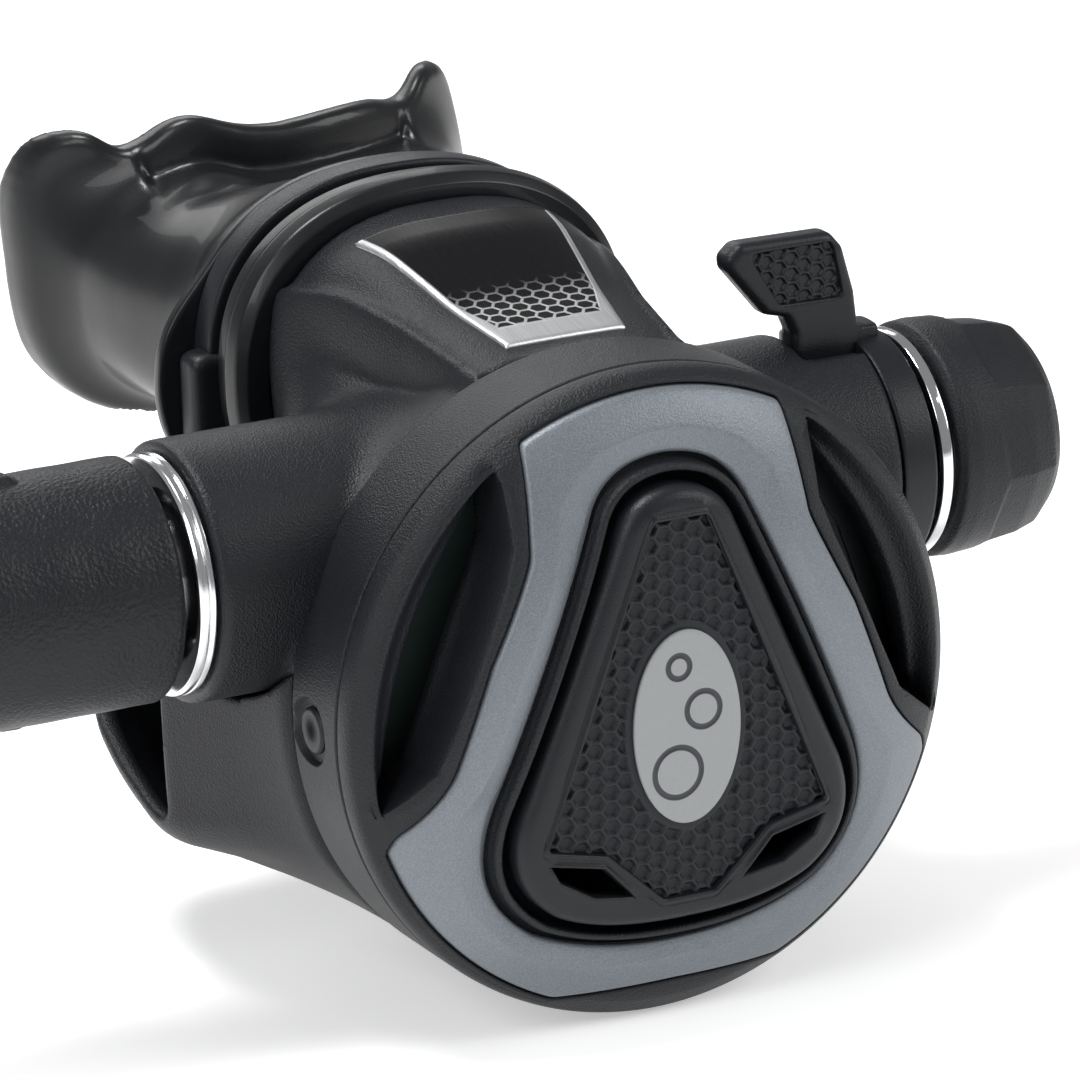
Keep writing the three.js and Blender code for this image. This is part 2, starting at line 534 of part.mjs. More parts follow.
// ---- mouthpiece ----
function makeMouthpiece() {
  const row = (y, z, halfX, halfZ, power = 2.3) => ({ y, z, halfX, halfZ, power });
  const tube = loft([
    row(32.2, 25.2, 23.2, 19.9), row(34.2, 25.2, 24, 20.5), row(35, 25.2, 22.6, 19.2), row(36.4, 25.2, 24.6, 21),
    row(38.8, 25.2, 25, 21.3), row(39.4, 25.2, 22.2, 18.8), row(46, 25.3, 22, 18.6), row(47, 25.4, 23.6, 19.6),
    row(49, 25.8, 22.6, 17.8), row(57, 27, 22.8, 14.8), row(67, 27.5, 25, 14), row(75, 27.5, 27, 14),
  ]);
  const lip = new THREE.Shape();
  lip.moveTo(0, 44.4);
  lip.bezierCurveTo(6, 44.8, 10, 45.2, 13, 44.4);
  lip.bezierCurveTo(15, 43.6, 15.6, 42.4, 17.6, 42.4);
  lip.bezierCurveTo(20, 42.4, 20.5, 45.8, 23.6, 45.6);
  lip.bezierCurveTo(28, 44.8, 28.4, 37, 28.2, 30);
  lip.bezierCurveTo(28, 20, 26, 13.4, 19.5, 12.8);
  lip.bezierCurveTo(12, 12.6, 8, 14.6, 0, 14.8);
  const half = lip.getPoints(5);
  const otherHalf = half.slice(1, -1).reverse().map(({ x, y }) => new THREE.Vector2(-x, y));
  const lipOutline = new THREE.Shape([...half, ...otherHalf]);
  const slab = slabY(lipOutline, 60, 92);
  const bend = (radius) => solid(new THREE.CylinderGeometry(radius, radius, 60, WIDE)
    .rotateX(Math.PI / 2).translate(0, MOUTH.flangeY + MOUTH.flangeRadius, MOUTH.z));
  const flange = without(slab.intersect(bend(MOUTH.flangeRadius)), bend(MOUTH.flangeRadius - 2.6));
  const trimmedTube = without(tube, bend(MOUTH.flangeRadius - 1));
  const tab = (side) => joined(
    slabZ(polygon([[side * 15, 72.5], [side * 27, 75.5], [side * 26.5, 90], [side * 24, 94], [side * 17, 94],
      [side * 14.5, 89]]), 26.4, 28.8),
    slabZ(polygon([[side * 16, 89.5], [side * 25.5, 89.5], [side * 24, 94], [side * 17, 94]]), 22.6, 32.4),
  );
  const bore = loft([
    row(30, 25.2, 19, 16), row(46.3, 25.2, 19, 16), row(46.4, 25.2, 16.4, 13.4), row(56, 27, 15.5, 9),
    row(65, 27.5, 16, 8), row(88, 27.5, 17, 8),
  ]);
  const lipRoom = loft([portRow(PORT.rear - 2.8, 1.1), portRow(PORT.rear + GAP, 1.1)]);
  return joined(without(joined(trimmedTube, flange), bore, lipRoom), tab(1), tab(-1));
}

function makeClamp() {
  const row = (y, grow) => ({ y, z: 25.2, halfX: 22.4 + grow, halfZ: 19 + grow, power: 2.3 });
  const strap = without(loft([row(40.6, 1.5), row(45, 1.5)]), loft([row(40, 0.1), row(46, 0.1)]));
  const ratchet = block(-24.9, -22.8, 40.6, 45, 13, 21);
  const socket = without(ratchet, loft([row(40, 0.1), row(46, 0.1)]));
  return joined(strap, socket);
}

function makeLabel() {
  const trapezoid = polygon([[-7.2, 0.4], [7.2, 0.4], [12, 27.2], [-12, 27.2]]);
  const band = slabZ(trapezoid, 20, 60);
  return without(loft(SADDLE_SECTIONS, LOFT, 1).intersect(band), loft(SADDLE_SECTIONS, LOFT, GAP));
}

function makeLockPin() {
  return joined(lockRod(LOCK.radius, -35.6, -34.6), lockRod(LOCK.stem, -34.8, -31.4));
}

function makeCoverRing() {
  const ring = turnedY([[COVER.bore, COVER.rear], [35.4, COVER.rear], [36, COVER.rear - 0.8], [36, COVER.parting],
    [COVER.bore, COVER.parting], [COVER.bore, COVER.rear]], WIDE);
  return without(ring, lockRod(LOCK.radius + GAP, -40, -34), lockRod(LOCK.stem + 0.25, -40, -30));
}

// ---- the set ----
piece('case_body', makeCase(), BLACK);
piece('exhaust_grid', makeExhaustGrid(), WHITE_PLASTIC);
piece('exhaust_valve', makeExhaustValve(), CLEAR_SILICONE);
piece('exhaust_tee', makeTee(), BLACK);
piece('label_plate', makeLabel(), STEEL);

piece('cover_ring', makeCoverRing(), BLACK);
piece('front_cover', makeFrontCover(), BLACK);
piece('trim_plate', makeTrimPlate(), GREY_PAINT);
piece('purge_button', makeButton(), BLACK);
piece('purge_emblem', makeEmblem(), MARK_GREY);
piece('purge_spring', coil(6.2, 0.4, 3.5, -22.4, -14.2, aroundCover, 36), STEEL);
piece('cover_lock_pin', makeLockPin(), BLACK);

piece('slip_ring', ringY(29.6, 32.8, -10.8, -10.5), WHITE_PLASTIC);
piece('diaphragm_membrane', without(makeMembrane(), rodY(1.8, -12, -8, SMALL)), CLEAR_SILICONE);
piece('diaphragm_disc', without(rodY(14, -9, -8.2), rodY(1.8, -12, -8, SMALL)), GREEN_PLASTIC);
piece('disc_rivet', turnedY([[0, -11.4], [4, -11.4], [4, -10.5], [1.5, -10.5], [1.5, -7.9], [0, -7.9]], SMALL), STEEL);

piece('demand_lever', makeLever(), STEEL);
piece('lever_pivot', solid(new THREE.CylinderGeometry(0.8, 0.8, 19.6, 16).rotateX(Math.PI / 2)
  .translate(LEVER.x, LEVER.y, BARREL.z)), STEEL);
piece('valve_tube', makeValveTube(), CHROME);
piece('inlet_orifice', makeOrifice(), BRASS);
piece('orifice_seal', sealX(5.25, 0.6, -42), RUBBER);
piece('poppet', makePoppet(), WHITE_PLASTIC);
piece('poppet_seat', rodX(3.2, -29.7, -27.7, SMALL), RUBBER);
piece('poppet_spring', coil(4.3, 0.4, 7, -12.6, 8.2, aroundBarrel, 56), STEEL);
piece('balance_cylinder', turnedX([[2.1, -3], [3.3, -3], [3.3, 9], [5.6, 9], [5.6, 11.4], [2.1, 11.4], [2.1, -3]], SMALL), BRASS);
piece('adjusting_screw', makeScrew(), BRASS);
piece('screw_seal', sealX(5.15, 0.6, 25), RUBBER);
piece('tube_nut', without(solid(new THREE.ExtrudeGeometry(hexagon(9.8), { depth: 2.8, bevelEnabled: false })
  .rotateY(Math.PI / 2).translate(46.5, BARREL.y, BARREL.z)), rodX(TUBE.radius + GAP, 40, 60)), CHROME);
piece('right_metal_ring', ringX(TUBE.radius + GAP, 12.7, 43.7, 45.9), CHROME);
piece('adjusting_knob', makeKnob(), BLACK);
piece('venturi_lever', makeVenturiLever(), BLACK);
piece('venturi_vane', makeVane(), BLACK);

piece('left_metal_ring', turnedX([[TUBE.radius + GAP, -46.2], [12.9, -46.2], [13.2, -45.8], [13.2, -44.3],
  [TUBE.radius + GAP, -44.3], [TUBE.radius + GAP, -46.2]]), CHROME);
piece('hose_sleeve', makeSleeve(), BLACK);
piece('hose_nut', makeHoseNut(), CHROME);
piece('inlet_fitting', makeInletFitting(), CHROME);
piece('swivel_seal', sealX(5.1, 0.55, -54.1), RUBBER);

piece('mouthpiece', makeMouthpiece(), SOFT_BLACK);
piece('mouthpiece_clamp', makeClamp(), BLACK);

set.position.copy(BASE_CENTRE);

export default set;
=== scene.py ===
import math

import bpy
import numpy as np
from bpy.props import FloatProperty, FloatVectorProperty, IntProperty, PointerProperty
from bpy.types import Operator, Panel, PropertyGroup
from mathutils import Matrix, Vector


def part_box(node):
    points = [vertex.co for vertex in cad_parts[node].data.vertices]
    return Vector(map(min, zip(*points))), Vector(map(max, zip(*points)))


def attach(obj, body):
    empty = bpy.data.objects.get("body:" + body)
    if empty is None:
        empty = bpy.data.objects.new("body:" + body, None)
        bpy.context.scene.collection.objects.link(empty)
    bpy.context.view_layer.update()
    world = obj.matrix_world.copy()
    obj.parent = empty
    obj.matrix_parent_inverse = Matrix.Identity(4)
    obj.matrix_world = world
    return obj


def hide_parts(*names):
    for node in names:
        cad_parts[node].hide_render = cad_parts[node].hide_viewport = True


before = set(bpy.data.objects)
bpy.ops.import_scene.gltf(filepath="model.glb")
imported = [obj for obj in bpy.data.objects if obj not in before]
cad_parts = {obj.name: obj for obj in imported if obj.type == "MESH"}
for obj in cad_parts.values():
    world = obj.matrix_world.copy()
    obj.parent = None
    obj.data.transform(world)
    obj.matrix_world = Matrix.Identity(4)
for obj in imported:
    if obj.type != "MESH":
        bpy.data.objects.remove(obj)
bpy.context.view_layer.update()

bl_info = {
    "name": "Second Stage Regulator",
    "version": (1, 0, 0),
    "blender": (4, 5, 0),
    "location": "View3D > Sidebar > Second Stage",
    "description": "Builds the outer looks of a scuba second stage around its solid model",
    "category": "Add Mesh",
}

MM = 0.001
TURN = 2 * math.pi

# ---- places, read from the solid model; lengths below are millimetres from HOME ----
ring_low, ring_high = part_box("cover_ring")
COVER_RADIUS = (ring_high.x - ring_low.x) / 2 / MM
HOME = np.array([(ring_low.x + ring_high.x) / 2, ring_high.y + 3 * MM, (ring_low.z + ring_high.z) / 2])


def span(node):
    """Lowest and highest corner of a solid piece, in millimetres from HOME."""
    return [(np.array(corner) - HOME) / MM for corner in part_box(node)]


LEFT_RING, RIGHT_RING = span("left_metal_ring"), span("right_metal_ring")
BARREL_Y = (LEFT_RING[0][1] + LEFT_RING[1][1]) / 2
BARREL_Z = (LEFT_RING[0][2] + LEFT_RING[1][2]) / 2
SLEEVE, KNOB, PIN = span("hose_sleeve"), span("adjusting_knob"), span("cover_lock_pin")
BUTTON = span("purge_button")

BARREL_RADIUS = 14.3
BARREL_LEFT, BARREL_RIGHT = LEFT_RING[1][0] + 0.3, 38.3
RING_REAR, PARTING = -3.0, -14.2
PORT_Z, PORT_POWER = 25.2, 2.3
COLLAR_WIDE, COLLAR_TALL = 20.6, 17.2
LABEL_START, LABEL_LENGTH = 0.4, 26.8
LABEL_FRONT, LABEL_SPREAD = 7.2, 4.8
RING_INSET = 0.32
ANGLES = np.linspace(0, TURN, 720, endpoint=False)


# ---- sizes and colours a user may change ----
class StageSizes(PropertyGroup):
    """Sizes of the small features."""
    cell_pitch: FloatProperty(
        name="Cell Pitch", description="Distance between the button's honeycomb cells, up the button",
        default=1.95 * MM, min=1.5 * MM, max=4 * MM, unit="LENGTH", precision=4)
    cell_depth: FloatProperty(
        name="Cell Depth", description="How far the honeycomb cells are sunk",
        default=0.46 * MM, min=0.1 * MM, max=0.6 * MM, unit="LENGTH", precision=4)
    flutes: IntProperty(name="Knob Flutes", description="Scoops around the adjusting knob", default=8, min=4,
                        max=16)
    flute_depth: FloatProperty(
        name="Flute Depth", description="How far the middle of each scoop is cut into the knob",
        default=0.5 * MM, min=0.1 * MM, max=1.5 * MM, unit="LENGTH", precision=4)


class StageColours(PropertyGroup):
    """Colours of the finishes."""
    plastic: FloatVectorProperty(
        name="Moulded Plastic", description="Grained black mouldings", subtype="COLOR",
        default=(0.0085, 0.0097, 0.0122), min=0, max=1)
    silicone: FloatVectorProperty(
        name="Silicone", description="Mouthpiece and its collar", subtype="COLOR",
        default=(0.0065, 0.0072, 0.0085), min=0, max=1)
    paint: FloatVectorProperty(
        name="Metallic Paint", description="Trim plate", subtype="COLOR",
        default=(0.15, 0.168, 0.188), min=0, max=1)
    mark: FloatVectorProperty(
        name="Printed Mark", description="Oval mark on the purge button", subtype="COLOR",
        default=(0.25, 0.26, 0.265), min=0, max=1)
    chrome: FloatVectorProperty(
        name="Chrome", description="Metal rings and fittings", subtype="COLOR",
        default=(0.8, 0.81, 0.83), min=0, max=1)


# ---- shader expressions ----
class Wire:
    """A shader socket. Python arithmetic on it adds Math nodes."""

    def __init__(self, shader, socket):
        self.shader, self.socket = shader, socket

    def math(self, operation, first, second):
        return self.shader.node("ShaderNodeMath", {"operation": operation}, {0: first, 1: second})

    def __add__(self, other):
        return self.math("ADD", self, other)

    def __sub__(self, other):
        return self.math("SUBTRACT", self, other)

    def __rsub__(self, other):
        return self.math("SUBTRACT", other, self)

    def __mul__(self, other):
        return self.math("MULTIPLY", self, other)

    def __truediv__(self, other):
        return self.math("DIVIDE", self, other)

    def __rtruediv__(self, other):
        return self.math("DIVIDE", other, self)

    def __pow__(self, other):
        return self.math("POWER", self, other)

    def __abs__(self):
        return self.shader.node("ShaderNodeMath", {"operation": "ABSOLUTE"}, {0: self})

    __radd__, __rmul__ = __add__, __mul__


class Shader:
    """A material with one Principled surface; node() makes any node and returns its output as a Wire."""

    def __init__(self, name):
        self.material = bpy.data.materials.new(name)
        self.material.use_nodes = True
        self.tree = self.material.node_tree
        self.surface = self.tree.nodes["Principled BSDF"]

    def node(self, kind, settings=None, inputs=None, output=0):
        made = self.tree.nodes.new(kind)
        for key, value in (settings or {}).items():
            if key == "stops":
                for k, (place, level) in enumerate(value):
                    stop = made.color_ramp.elements[k] if k < 2 else made.color_ramp.elements.new(place)
                    stop.position, stop.color = place, (level, level, level, 1)
            else:
                setattr(made, key, value)
        self.fill(made, inputs or {})
        return Wire(self, made.outputs[output])

    def fill(self, made, inputs):
        for key, value in inputs.items():
            if isinstance(value, Wire):
                self.tree.links.new(value.socket, made.inputs[key])
            else:
                made.inputs[key].default_value = value

    def finish(self, **inputs):
        self.fill(self.surface, {key.replace("_", " "): value for key, value in inputs.items()})
        return self.material

    def place(self):
        return self.node("ShaderNodeTexCoord", output="Object")

    def split(self, vector):
        """The three parts of a vector."""
        parts = self.tree.nodes.new("ShaderNodeSeparateXYZ")
        self.fill(parts, {0: vector})
        return [Wire(self, socket) for socket in parts.outputs]

    def stretch(self, where, scale):
        """Coordinates scaled along each axis, so a pattern on them runs long where scale is small."""
        return self.node("ShaderNodeMapping", {}, {"Vector": where, "Scale": scale})

    def noise(self, where, size, detail=2.0, rough=0.5):
        """Cloudy noise whose lumps are about size millimetres."""
        return self.node("ShaderNodeTexNoise", {}, {
            "Vector": where, "Scale": 1 / (size * MM), "Detail": detail, "Roughness": rough}, "Fac")

    def pebbles(self, where, size):
        """Distance from the nearest of many scattered points, about size millimetres apart."""
        return self.node("ShaderNodeTexVoronoi", {"feature": "SMOOTH_F1"}, {
            "Vector": where, "Scale": 1 / (size * MM), "Smoothness": 0.6}, "Distance")

    def ramp(self, value, low, high, start=0.0, end=1.0):
        """start below low, end above high, and a smooth step between."""
        return self.node("ShaderNodeMapRange", {"interpolation_type": "SMOOTHSTEP"}, {
            "Value": value, "From Min": low, "From Max": high, "To Min": start, "To Max": end})

    def tint(self, factor, first, second):
        """A colour that goes from first to second with factor."""
        made = self.tree.nodes.new("ShaderNodeMix")
        made.data_type = "RGBA"
        colour = [(*c, 1) if not isinstance(c, Wire) and len(c) == 3 else c for c in (first, second)]
        self.fill(made, {"Factor": factor})
        self.fill(made, {6: colour[0], 7: colour[1]})
        return Wire(self, made.outputs[2])

    def bump(self, height, depth, strength=1.0, under=None):
        """A normal from height, whose full range is depth millimetres."""
        inputs = {"Strength": strength, "Distance": depth * MM, "Height": height}
        if under:
            inputs["Normal"] = under
        return self.node("ShaderNodeBump", {}, inputs, "Normal")


def scaled(colour, factor):
    """A colour times factor, with no channel over 1."""
    return tuple(min(1.0, channel * factor) for channel in colour)


def moulded(name, colour, grain=0.24, depth=0.085, rough=0.42, worn=1.25):
    """Fine pebbled moulded plastic: scattered pebbles on cloudy noise, slightly lighter where rubbed."""
    s = Shader(name)
    where = s.place()
    cloud = s.noise(where, 9, 3)
    grit = s.noise(where, grain * 0.5, 2, 0.6)
    height = s.pebbles(where, grain) * 0.8 + grit * 0.5
    colour_mix = s.tint(cloud * 0.6 + grit * 0.4, scaled(colour, 0.82), scaled(colour, worn))
    roughness = rough + (cloud - 0.5) * 0.12 + (grit - 0.5) * 0.1
    return s.finish(Base_Color=colour_mix, Roughness=roughness, Normal=s.bump(height, depth),
                    Specular_IOR_Level=0.26)


def leather(name, colour):
    """Leather-like moulded grain: large soft pebbles broken by small ones, with a few scuffs."""
    s = Shader(name)
    where = s.place()
    big = s.pebbles(where, 0.48)
    small = s.pebbles(where, 0.24)
    cloud = s.noise(where, 11, 3)
    scuff = s.ramp(s.noise(s.stretch(where, (0.12, 1, 1)), 1.6, 4, 0.7), 0.69, 0.76)
    height = big * 0.8 + small * 0.35 - scuff * 0.15
    tone = s.tint(cloud * 0.7 + big * 0.4, scaled(colour, 0.75), scaled(colour, 1.3))
    return s.finish(Base_Color=s.tint(scuff * 0.35, tone, scaled(colour, 2.2)),
                    Roughness=0.44 + (cloud - 0.5) * 0.14, Normal=s.bump(height, 0.11),
                    Specular_IOR_Level=0.26)


def rubber(name, colour, rough=0.34):
    """Smooth moulded silicone: near-black with a soft oily sheen and faint flow marks."""
    s = Shader(name)
    where = s.place()
    cloud = s.noise(where, 7, 4)
    fine = s.noise(where, 0.25, 2)
    tone = s.tint(cloud, scaled(colour, 0.8), scaled(colour, 1.35))
    return s.finish(Base_Color=tone, Roughness=rough + (cloud - 0.5) * 0.22, Coat_Weight=0.12,
                    Normal=s.bump(fine * 0.5 + cloud * 0.6, 0.03), Specular_IOR_Level=0.26)


def painted(name, colour):
    """Satin metallic paint: fine flakes in a grey-blue coat, with the orange peel of spraying."""
    s = Shader(name)
    where = s.place()
    flake = s.noise(where, 0.16, 1)
    peel = s.noise(where, 0.3, 2)
    cloud = s.noise(where, 10, 2)
    tone = s.tint(s.ramp(flake, 0.35, 0.7) * 0.7 + cloud * 0.3, scaled(colour, 0.85), scaled(colour, 1.25))
    return s.finish(Base_Color=tone, Metallic=0.35, Roughness=0.42 + (flake - 0.5) * 0.16,
                    Normal=s.bump(peel * 0.6 + flake * 0.5, 0.075))


def brushed(name, colour, rough=0.16, depth=0.012):
    """Turned or polished metal: fine lines round the barrel's axis."""
    s = Shader(name)
    where = s.place()
    lines = s.noise(s.stretch(where, (1, 0.02, 0.02)), 0.09, 2)
    cloud = s.noise(where, 5, 2)
    tone = s.tint(lines, scaled(colour, 0.8), colour)
    return s.finish(Base_Color=tone, Metallic=1.0,
                    Roughness=rough + (lines - 0.5) * 0.16 + (cloud - 0.5) * 0.06,
                    Normal=s.bump(lines, depth))


def mark_finish(name, grey, dark):
    """The oval's print: grey, with one thin dark ring for each of the three bubbles."""
    s = Shader(name)
    where = s.place()
    moved = s.node("ShaderNodeVectorMath", {"operation": "SUBTRACT"}, {0: where, 1: tuple(HOME)})
    x, _, z = s.split(moved)
    x, z = x * (1 / MM), z * (1 / MM)
    dark_mask = None
    for across, up, radius in BUBBLES:
        gap = ((x - across) ** 2 + (z - up) ** 2) ** 0.5 - radius
        ring = 1 - s.ramp(abs(gap + RING_INSET), 0.3, 0.36)
        dark_mask = ring if dark_mask is None else dark_mask.math("MAXIMUM", dark_mask, ring)
    fine = s.noise(where, 0.2, 2)
    tone = s.tint(fine, scaled(grey, 0.92), scaled(grey, 1.08))
    return s.finish(Base_Color=s.tint(dark_mask, tone, dark), Roughness=0.5 + (fine - 0.5) * 0.15,
                    Normal=s.bump(fine, 0.02))


def label_finish(name):
    """Metal label: brushed silver border and front, gloss black behind, honeycomb fading between them."""
    s = Shader(name)
    where = s.node("ShaderNodeUVMap", {"uv_map": "label"})
    across, along, _ = s.split(where)
    pitch = 1.7

    def fold(value, period, shift):
        return abs(s.node("ShaderNodeMath", {"operation": "WRAP"}, {
            0: value + shift, 1: period / 2, 2: -period / 2}))

    def cell(shift_across, shift_along):
        """Distance to the nearest cell middle of one of two shifted lattices, square to a cell's six
        sides."""
        u, v = fold(across * 0.84, pitch * 1.732, shift_across), fold(along, pitch, shift_along)
        return u.math("MAXIMUM", v, u * 0.866 + v * 0.5)

    hexes = across.math("MINIMUM", cell(0, 0), cell(pitch * 0.866, pitch * 0.5))
    wall = s.ramp(hexes, pitch * 0.4, pitch * 0.44)
    silver_fade = s.ramp(along, 13.4, 5.0)
    field = s.ramp(along, 13.0, 11.8) * s.ramp(along, 4.0, 4.2)
    edge = LABEL_FRONT + along * 0.179 - abs(across)
    border_width = s.ramp(along, 10.5, 4.0, 0.8, 1.7)
    border = s.ramp(edge - border_width, 0.12, -0.12)
    silver = border.math("MAXIMUM", border, s.ramp(along, 4.25, 3.95))
    silver = silver.math("MAXIMUM", silver, wall * field * silver_fade)
    lines = s.noise(s.stretch(where, (1, 0.02, 1)), 0.12 / MM, 2)
    tone = s.tint(lines, (0.45, 0.46, 0.47), (0.86, 0.87, 0.88))
    return s.finish(Base_Color=s.tint(silver, (0.003, 0.003, 0.004), tone), Metallic=silver,
                    Roughness=0.26 + silver * 0.12 + (lines - 0.5) * 0.14, Specular_IOR_Level=0.16,
                    Normal=s.bump(lines * silver + silver * 2.0, 0.03))


FINISHES = {}


def finish_for(name):
    """The named finish, made the first time it is asked for."""
    colours = bpy.context.scene.stage_colours
    black, silicone, chrome = tuple(colours.plastic), tuple(colours.silicone), tuple(colours.chrome)
    makers = {
        "grained_black": lambda n: moulded(n, black),
        "smooth_black": lambda n: moulded(n, black, 0.22, 0.03, 0.38),
        "barrel_black": lambda n: moulded(n, black, 0.24, 0.075, 0.38),
        "honeycomb_black": lambda n: moulded(n, scaled(black, 1.25), 0.22, 0.03, 0.5),
        "sleeve_leather": lambda n: leather(n, scaled(black, 0.9)),
        "silicone": lambda n: rubber(n, silicone),
        "metallic_paint": lambda n: painted(n, tuple(colours.paint)),
        "printed_mark": lambda n: mark_finish(n, tuple(colours.mark), scaled(black, 2.2)),
        "label": label_finish,
        "brushed_chrome": lambda n: brushed(n, chrome),
        "polished_chrome": lambda n: brushed(n, chrome, 0.08, 0.005),
        "spring_steel": lambda n: brushed(n, (0.5, 0.5, 0.52), 0.28),
        "machined_brass": lambda n: brushed(n, (0.62, 0.46, 0.2), 0.25),
        "seal_rubber": lambda n: rubber(n, (0.012, 0.012, 0.012), 0.6),
        "clear_silicone": lambda n: rubber(n, (0.02, 0.034, 0.03), 0.4),
        "green_plastic": lambda n: moulded(n, (0.01, 0.08, 0.055), 0.4, 0.02, 0.4),
        "white_plastic": lambda n: moulded(n, (0.5, 0.5, 0.48), 0.4, 0.02, 0.45),
    }
    if name not in FINISHES:
        FINISHES[name] = makers[name](name)
    return FINISHES[name]


# ---- surfaces from grids of points ----
def sheet(grid, around=False, along=False, capped=False, keep=None):
    """Quads over a grid (rows, columns, 3): around joins the last column to the first, along the last row
    to the first, capped closes both end rows on their middles, and keep is a mask of quads."""
    rows, columns = grid.shape[:2]
    index = np.arange(rows * columns).reshape(rows, columns)
    if around:
        index = np.hstack([index, index[:, :1]])
    if along:
        index = np.vstack([index, index[:1]])
    quads = np.stack([index[:-1, :-1], index[:-1, 1:], index[1:, 1:], index[1:, :-1]], -1)
    quads = quads.reshape(-1, 4) if keep is None else quads[keep]
    points, fans = grid.reshape(-1, 3), np.empty((0, 3), int)
    if capped:
        for row, step in ((0, -1), (rows - 1, 1)):
            middle = np.full(index.shape[1] - 1, len(points))
            fans = np.vstack([fans, np.stack([index[row, :-1], index[row, 1:], middle], -1)[:, ::step]])
            points = np.vstack([points, grid[row].mean(0)])
    return points, quads, fans


def volume(points, quads, fans):
    """Six times the enclosed volume: the sum of triple products over the triangles."""
    triangles = np.vstack([quads[:, :3], quads[:, [0, 2, 3]], fans])
    a, b, c = (points[triangles[:, k]] for k in range(3))
    return np.einsum("ij,ij->", a - points[0], np.cross(b - points[0], c - points[0]))


def piece(name, sheets, finish, body, nodes=(), uv=None):
    """One object from closed sheets, faces turned outwards, riding on its body."""
    points, corners, sizes, shift = [], [], [], 0
    for some, quads, fans in sheets:
        if volume(some, quads, fans) < 0:
            quads, fans = quads[:, ::-1], fans[:, ::-1]
        points.append(some)
        corners += [(quads + shift).ravel(), (fans + shift).ravel()]
        sizes += [np.full(len(quads), 4), np.full(len(fans), 3)]
        shift += len(some)
    points = HOME + np.vstack(points) * MM
    corners, sizes = np.concatenate(corners), np.concatenate(sizes)
    mesh = bpy.data.meshes.new(name)
    mesh.vertices.add(len(points))
    mesh.vertices.foreach_set("co", points.astype(np.float32).ravel())
    mesh.loops.add(len(corners))
    mesh.loops.foreach_set("vertex_index", corners.astype(np.int32))
    mesh.polygons.add(len(sizes))
    starts = np.concatenate([[0], np.cumsum(sizes)[:-1]])
    mesh.polygons.foreach_set("loop_start", starts.astype(np.int32))
    mesh.polygons.foreach_set("use_smooth", np.ones(len(sizes), bool))
    mesh.update(calc_edges=True)
    if uv is not None:
        layer = mesh.uv_layers.new(name="label")
        layer.data.foreach_set("uv", uv[corners].astype(np.float32).ravel())
    mesh.validate()
    made = bpy.data.objects.new(name, mesh)
    bpy.context.scene.collection.objects.link(made)
    mesh.materials.append(finish_for(finish))
    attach(made, body)
    if nodes:
        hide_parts(*nodes)
    return made


def thicken(made, thickness):
    """Gives an open sheet a wall behind its faces, thickness millimetres thick."""
    wall = made.modifiers.new("wall", "SOLIDIFY")
    wall.thickness, wall.offset, wall.use_rim = thickness * MM, -1, True


def steps(low, high, value):
    """A smooth step from 0 at low to 1 at high: 3t^2 - 2t^3."""
    t = np.clip((value - low) / (high - low), 0, 1)
    return t * t * (3 - 2 * t)


def filleted(points, radii, count=5, closed=True):
    """A polygon with each corner replaced by an arc tangent to both its sides; the tangent points lie
    radius / tan(half the corner's angle) from it."""
    points = np.asarray(points, float)
    radii = np.broadcast_to(radii, len(points))
    out = []
    for k, (corner, radius) in enumerate(zip(points, radii)):
        ends = not closed and k in (0, len(points) - 1)
        if radius <= 0 or ends:
            out.append(corner[None])
            continue
        a, b = points[k - 1] - corner, points[(k + 1) % len(points)] - corner
        la, lb = np.hypot(*a), np.hypot(*b)
        a, b = a / la, b / lb
        half = math.acos(np.clip(a @ b, -1, 1)) / 2
        if half > 1.55:
            out.append(corner[None])
            continue
        reach = min(radius / math.tan(half), 0.48 * la, 0.48 * lb)
        t = np.linspace(0, 1, count)[:, None]
        out.append(corner + reach * ((1 - t) ** 2 * a + t ** 2 * b))
    return np.vstack(out)


def about_cover(radii, heights, angles=ANGLES):
    """Rows about the cover's axis: x = r cos(angle), z = r sin(angle), y = height."""
    radii, heights = np.broadcast_arrays(radii, heights)
    return np.stack([radii * np.cos(angles), heights, radii * np.sin(angles)], -1)


def about_barrel(radii, places, angles):
    """Rows about the barrel's axis: y and z turn by angle at radius r, x is the place along it."""
    radii, places, angles = np.broadcast_arrays(radii, places, angles)
    return np.stack([places, BARREL_Y + radii * np.cos(angles), BARREL_Z + radii * np.sin(angles)], -1)


def turned(profile, about, columns=240):
    """A closed profile of (radius, place) corners turned about an axis."""
    angles = np.linspace(0, TURN, columns, endpoint=False)
    return sheet(about(profile[:, :1], profile[:, 1:], angles), around=True, along=True)


def evenly(profile, count):
    """Radius and place columns at count even steps of length along a profile."""
    t = np.concatenate([[0], np.cumsum(np.hypot(*np.diff(profile, axis=0).T))])
    dense = np.linspace(0, t[-1], count)
    return [np.interp(dense, t, profile[:, k])[:, None] for k in (0, 1)]


# ---- fields: negative inside, about the distance from the surface in millimetres ----
def melt(a, b, soft):
    """Union with a fillet: the smaller of two fields, eased by a parabola where they are within soft."""
    h = np.clip(0.5 + 0.5 * (b - a) / soft, 0, 1)
    return b + (a - b) * h - soft * h * (1 - h)


def meet(a, b, soft):
    """What two fields share, with the edge eased over soft."""
    return -melt(-a, -b, soft)


def carve(a, tool, soft):
    """a without tool, with its edges eased over soft."""
    return meet(a, -tool, soft)


def between(value, low, high):
    """A slab: the distance outside the nearer of two planes, |value - middle| - half the width."""
    return np.abs(value - (low + high) / 2) - (high - low) / 2


def rod_x(x, y, z, radius, left, right, soft=0.8):
    """A rod on the barrel's axis."""
    return meet(np.hypot(y - BARREL_Y, z - BARREL_Z) - radius, between(x, left, right), soft)


